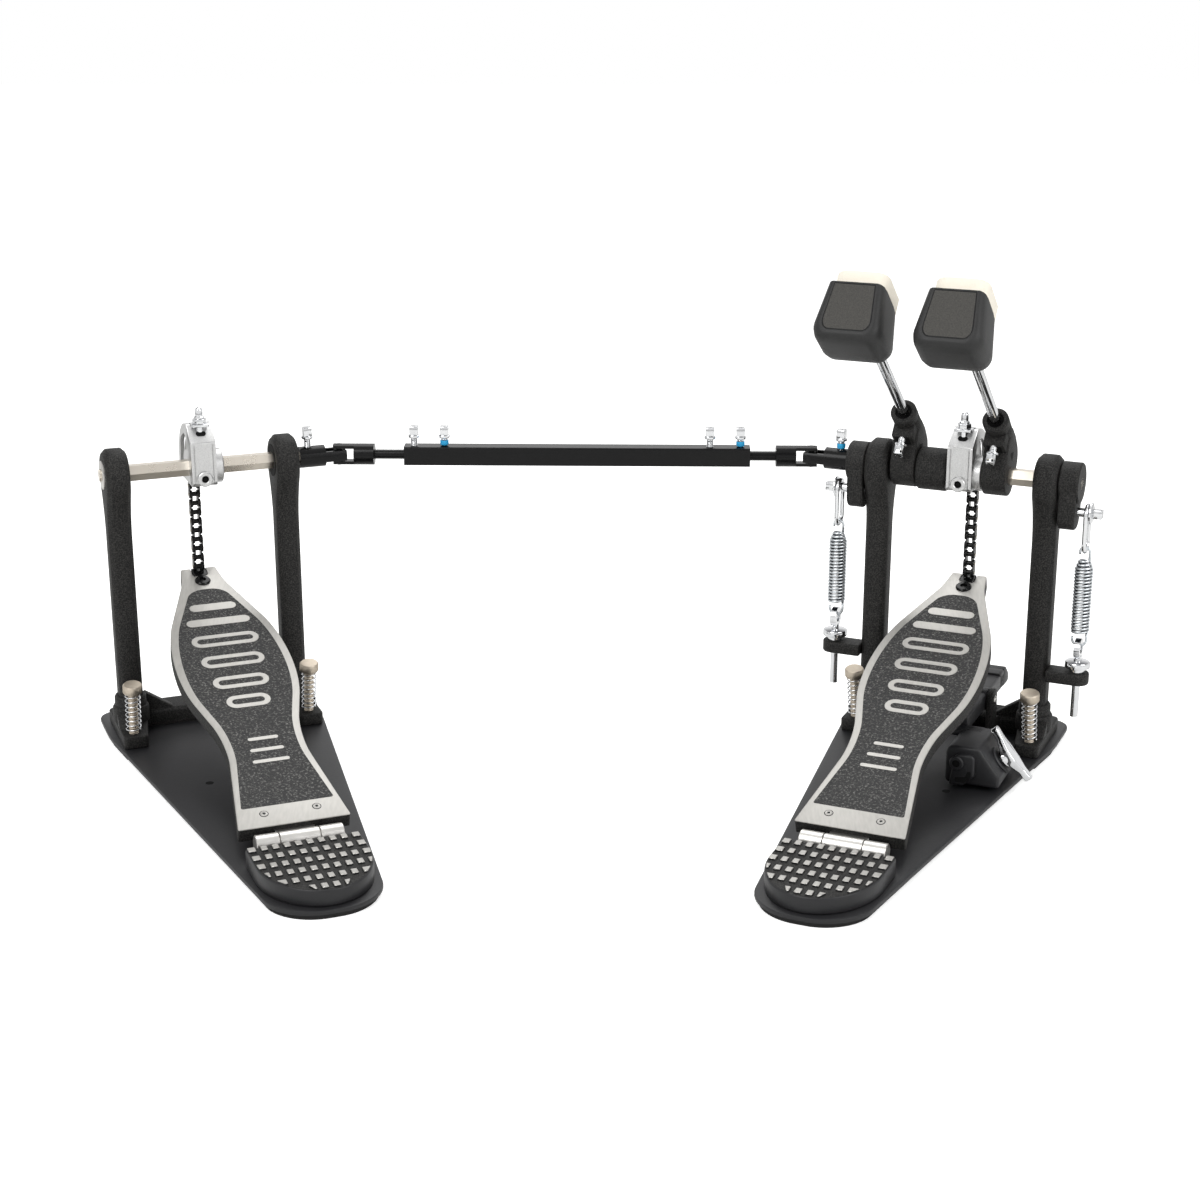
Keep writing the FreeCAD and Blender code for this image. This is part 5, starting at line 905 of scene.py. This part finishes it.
# Spring brackets and tension bolts. A cast arm on each right post takes the spring's eye bolt,
# which is set by a knurled nut on top of the arm.
for label, hand, stands in (("inner_bracket", -1, []), ("outer_bracket", 1, ["spring_brackets"])):
    root, tip = 63.6 * hand, 91.0 * hand
    arm = slab([(root, -11.5), (tip, -11.5, 7.4, 8), (tip, 3.5, 7.4, 8), (root, 3.5)], 51.0, 59.0)
    ease(arm, 1.1, 3, 50)
    piece(label, arm, [cast_coat], "right_frame", pedals["right"], stands)
FLUTES = 72


def knurled(points, radius, depth):
    """A turned shape with straight flutes cut into its round rim."""
    shape = turned(points, FLUTES)
    for vert in shape.verts:
        if vert.co.xy.length > radius - 0.05:
            turn = round(math.atan2(vert.co.y, vert.co.x) / (2 * math.pi) * FLUTES)
            vert.co.xy *= 1 - depth / radius if turn % 2 else 1.0
    return shape


nut = knurled([(2.7, 59.4), (5.0, 59.4), (5.0, 62.0), (7.7, 62.0), (8.2, 62.5), (8.2, 65.7), (7.7, 66.2),
               (4.2, 66.8), (2.7, 66.8)], 8.2, 0.25)
for name, (start, hand, body) in beaters.items():
    piece(name + "_knurled_nut", moved(nut, SPRING_X * hand, SPRING_Y, 0), [chrome], name + "_tension_nut",
          pedals["right"], [name + "_tension_nut"])


# Floor spurs. A threaded pin with a knurled head screws down through each post foot into the
# floor; a light coil spring under the head keeps it from working loose.
# Nickel with a warm, satin, slightly tan look.
warm_nickel = plated("warm_nickel_plate", 260.0, 3.0, ("#b9ad9c", "#d3c9ba"), (0.4, 0.52))
COIL_LOW, COIL_HIGH = -35.2, -6.8
spur_lean = Matrix.Rotation(math.radians(10.7), 4, "X")
spur_head = knurled([(0, -6.0), (5.7, -6.0), (6.3, -5.4), (6.3, -0.7), (5.6, 0), (0, 0)], 6.3, 0.3)
spur_pin = turned([(0, -50.2), (3.1, -45.2)] + thread(3.2, -45.0, -6.0, 1.5, 0.4) + [(0, -6.0)], 20)
spur = gather(spur_head, spur_pin)
for side, seat in pedals.items():
    inner_hand = -1 if side == "right" else 1
    for label, hand in (("inner", inner_hand), ("outer", -inner_hand)):
        place = seat @ Matrix.Translation((SPUR_X * hand, -34, 50.7)) @ spur_lean
        body = f"{side}_{label}_spur"
        piece(f"{side}_{label}_floor_pin", spur, [warm_nickel], body, place, [body])
        stands = [side + "_spur_springs"] if label == "inner" else []
        item = piece(f"{side}_{label}_pin_spring", coil(0.45, 4.7, COIL_LOW, COIL_HIGH, 8), [chrome], None,
                     place, stands, 180)
        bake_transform(item)


# Hoop clamp. A cast lever pivots between the ears of the right foot: its front jaw comes down on
# the drum hoop when the wing bolt at the rear is tightened.
def brick(low, high):
    return slab([(low[0], low[1]), (high[0], low[1]), (high[0], high[1]), (low[0], high[1])], low[2], high[2])


pivot_seat = Matrix.Translation((0, -14, 35)) @ along_x
jaw_hook = slab([(29.5, 29), (44, 29, 2.4, 3), (44, 35, 2.4, 3), (35.5, 42, 2.4, 3), (29.5, 42)], 1.5, 27.5)
tail = slab([(23.5, 9, 3, 3), (58.4, 9, 2, 2), (58.4, 16.5, 2, 2), (44.7, 34, 3, 3), (23.5, 34, 5, 4)],
            64, 104)
shoulder = slab([(27, 9), (36, 9), (43, 16, 2, 3), (43, 30, 3, 3), (30, 30, 4, 3)], 100, 107.5)
wing_lean = Matrix.Rotation(math.radians(52), 4, "Y")
wing_seat = pedals["right"] @ Matrix.Translation((54.5, -84, 21.5)) @ wing_lean
wing_boss = turned([(3.6, -6), (9.0, -6), (9.0, 0.8), (8.2, 1.6), (3.6, 1.6)], 32)
eye = Matrix.Translation((31.5, -107.4, 24)) @ toward_player
eye_ring = turned([(2.4, -1), (4.6, -1), (4.6, 0.6), (4.0, 1.2), (2.4, 1.2)], 24)
# Painted shade: a dark disc in the eye ring for its hole, and a dark hooked patch on the front for the hollow
# of the slot.
eye_hole_shade = turned([(0, 0.3), (2.5, 0.3), (2.5, 0.4), (0, 0.4)], 18)
groove_shade = slab([(31, 11.5, 0.8, 2), (38, 11.5, 1, 2), (41, 15, 1, 2), (41, 19.5, 0.8, 2), (39, 19.5, 0.8, 2),
               (37.5, 15.5, 1, 2), (31, 14.5, 0.8, 2)], 107.3, 107.6)
pivot_boss = turned([(3.1, 16.5), (7.5, 16.5), (7.5, 27.5), (3.1, 27.5)], 32)
lever = gather(ease(brick((16.5, -66, 29.5), (27.5, 29.6, 40.5)), 1.6, 3),
               ease(brick((1.5, 18.5, 29.5), (27.5, 29.6, 42)), 1.4, 3),
               ease(placed(jaw_hook, upright), 1.2, 2, 40), ease(placed(tail, toward_player), 1.8, 3, 40),
               ease(placed(shoulder, toward_player), 1.4, 3, 40),
               placed(wing_boss, pedals["right"].inverted() @ wing_seat),
               ease(brick((16.5, -75, 29.5), (39, -63.9, 34)), 1.0, 2), placed(pivot_boss, pivot_seat),
               placed(eye_ring, eye), painted(placed(eye_hole_shade, eye), 1),
               painted(placed(groove_shade, toward_player), 1))
piece("hoop_lever", lever, [sheet_coat, painted_hole_shade], "clamp_lever", pedals["right"],
      ["clamp_lever"])
pivot = turned([(0, 10.9), (2.4, 10.9), (3.0, 11.5), (3.0, 32.5), (2.4, 33.1), (0, 33.1)], 24)
piece("clamp_pivot_pin", placed(pivot, pivot_seat), [steel], "right_frame", pedals["right"])
WING_HALF = 20
half_plan = [(WING_HALF, -2.8, 2.4, 5), (12, -3.0, 10, 4), (4.5, -5.6, 5, 4)]
plan = half_plan + [(-x, *rest) for x, *rest in reversed(half_plan)]
blade = slab(plan + [(x, -y, *rest) for x, y, *rest in reversed(plan)], 4, 9.5)
for x in range(-16, 17, 4):
    bmesh.ops.bisect_plane(blade, geom=blade.verts[:] + blade.edges[:] + blade.faces[:],
                           plane_co=(x, 0, 0), plane_no=(1, 0, 0))
for vert in blade.verts:
    rise = (vert.co.x / WING_HALF) ** 2
    vert.co.z = 3.4 + 2.4 * min(1.0, 3 * rise) if vert.co.z < 7 else 9.5 + 1.4 * rise
ease(blade, 0.9, 3, 50)
wing = gather(blade, turned([(0, -9)] + thread(3.2, -9, 2.2, 1.2, 0.4)
                            + [(5.2, 2.2), (6.4, 3.0), (6.2, 5.0), (4.6, 8.4), (0, 8.4)], 28))
piece("wing_screw", wing, [chrome], "clamp_wing_bolt", wing_seat, ["clamp_wing_bolt"])


# Linkage. A square steel tube on round rods, with a forged universal joint at each end, all
# in black oxide; the rods slide in the tube and the key bolts lock them.
dress(oxide, "left_shaft_yoke", "right_shaft_yoke", "left_cross", "right_cross", "linkage_left_rod",
      "linkage_right_rod", "linkage_tube")


# The box round the shown pieces, leaving out the floor and any hidden part.
low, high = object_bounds()
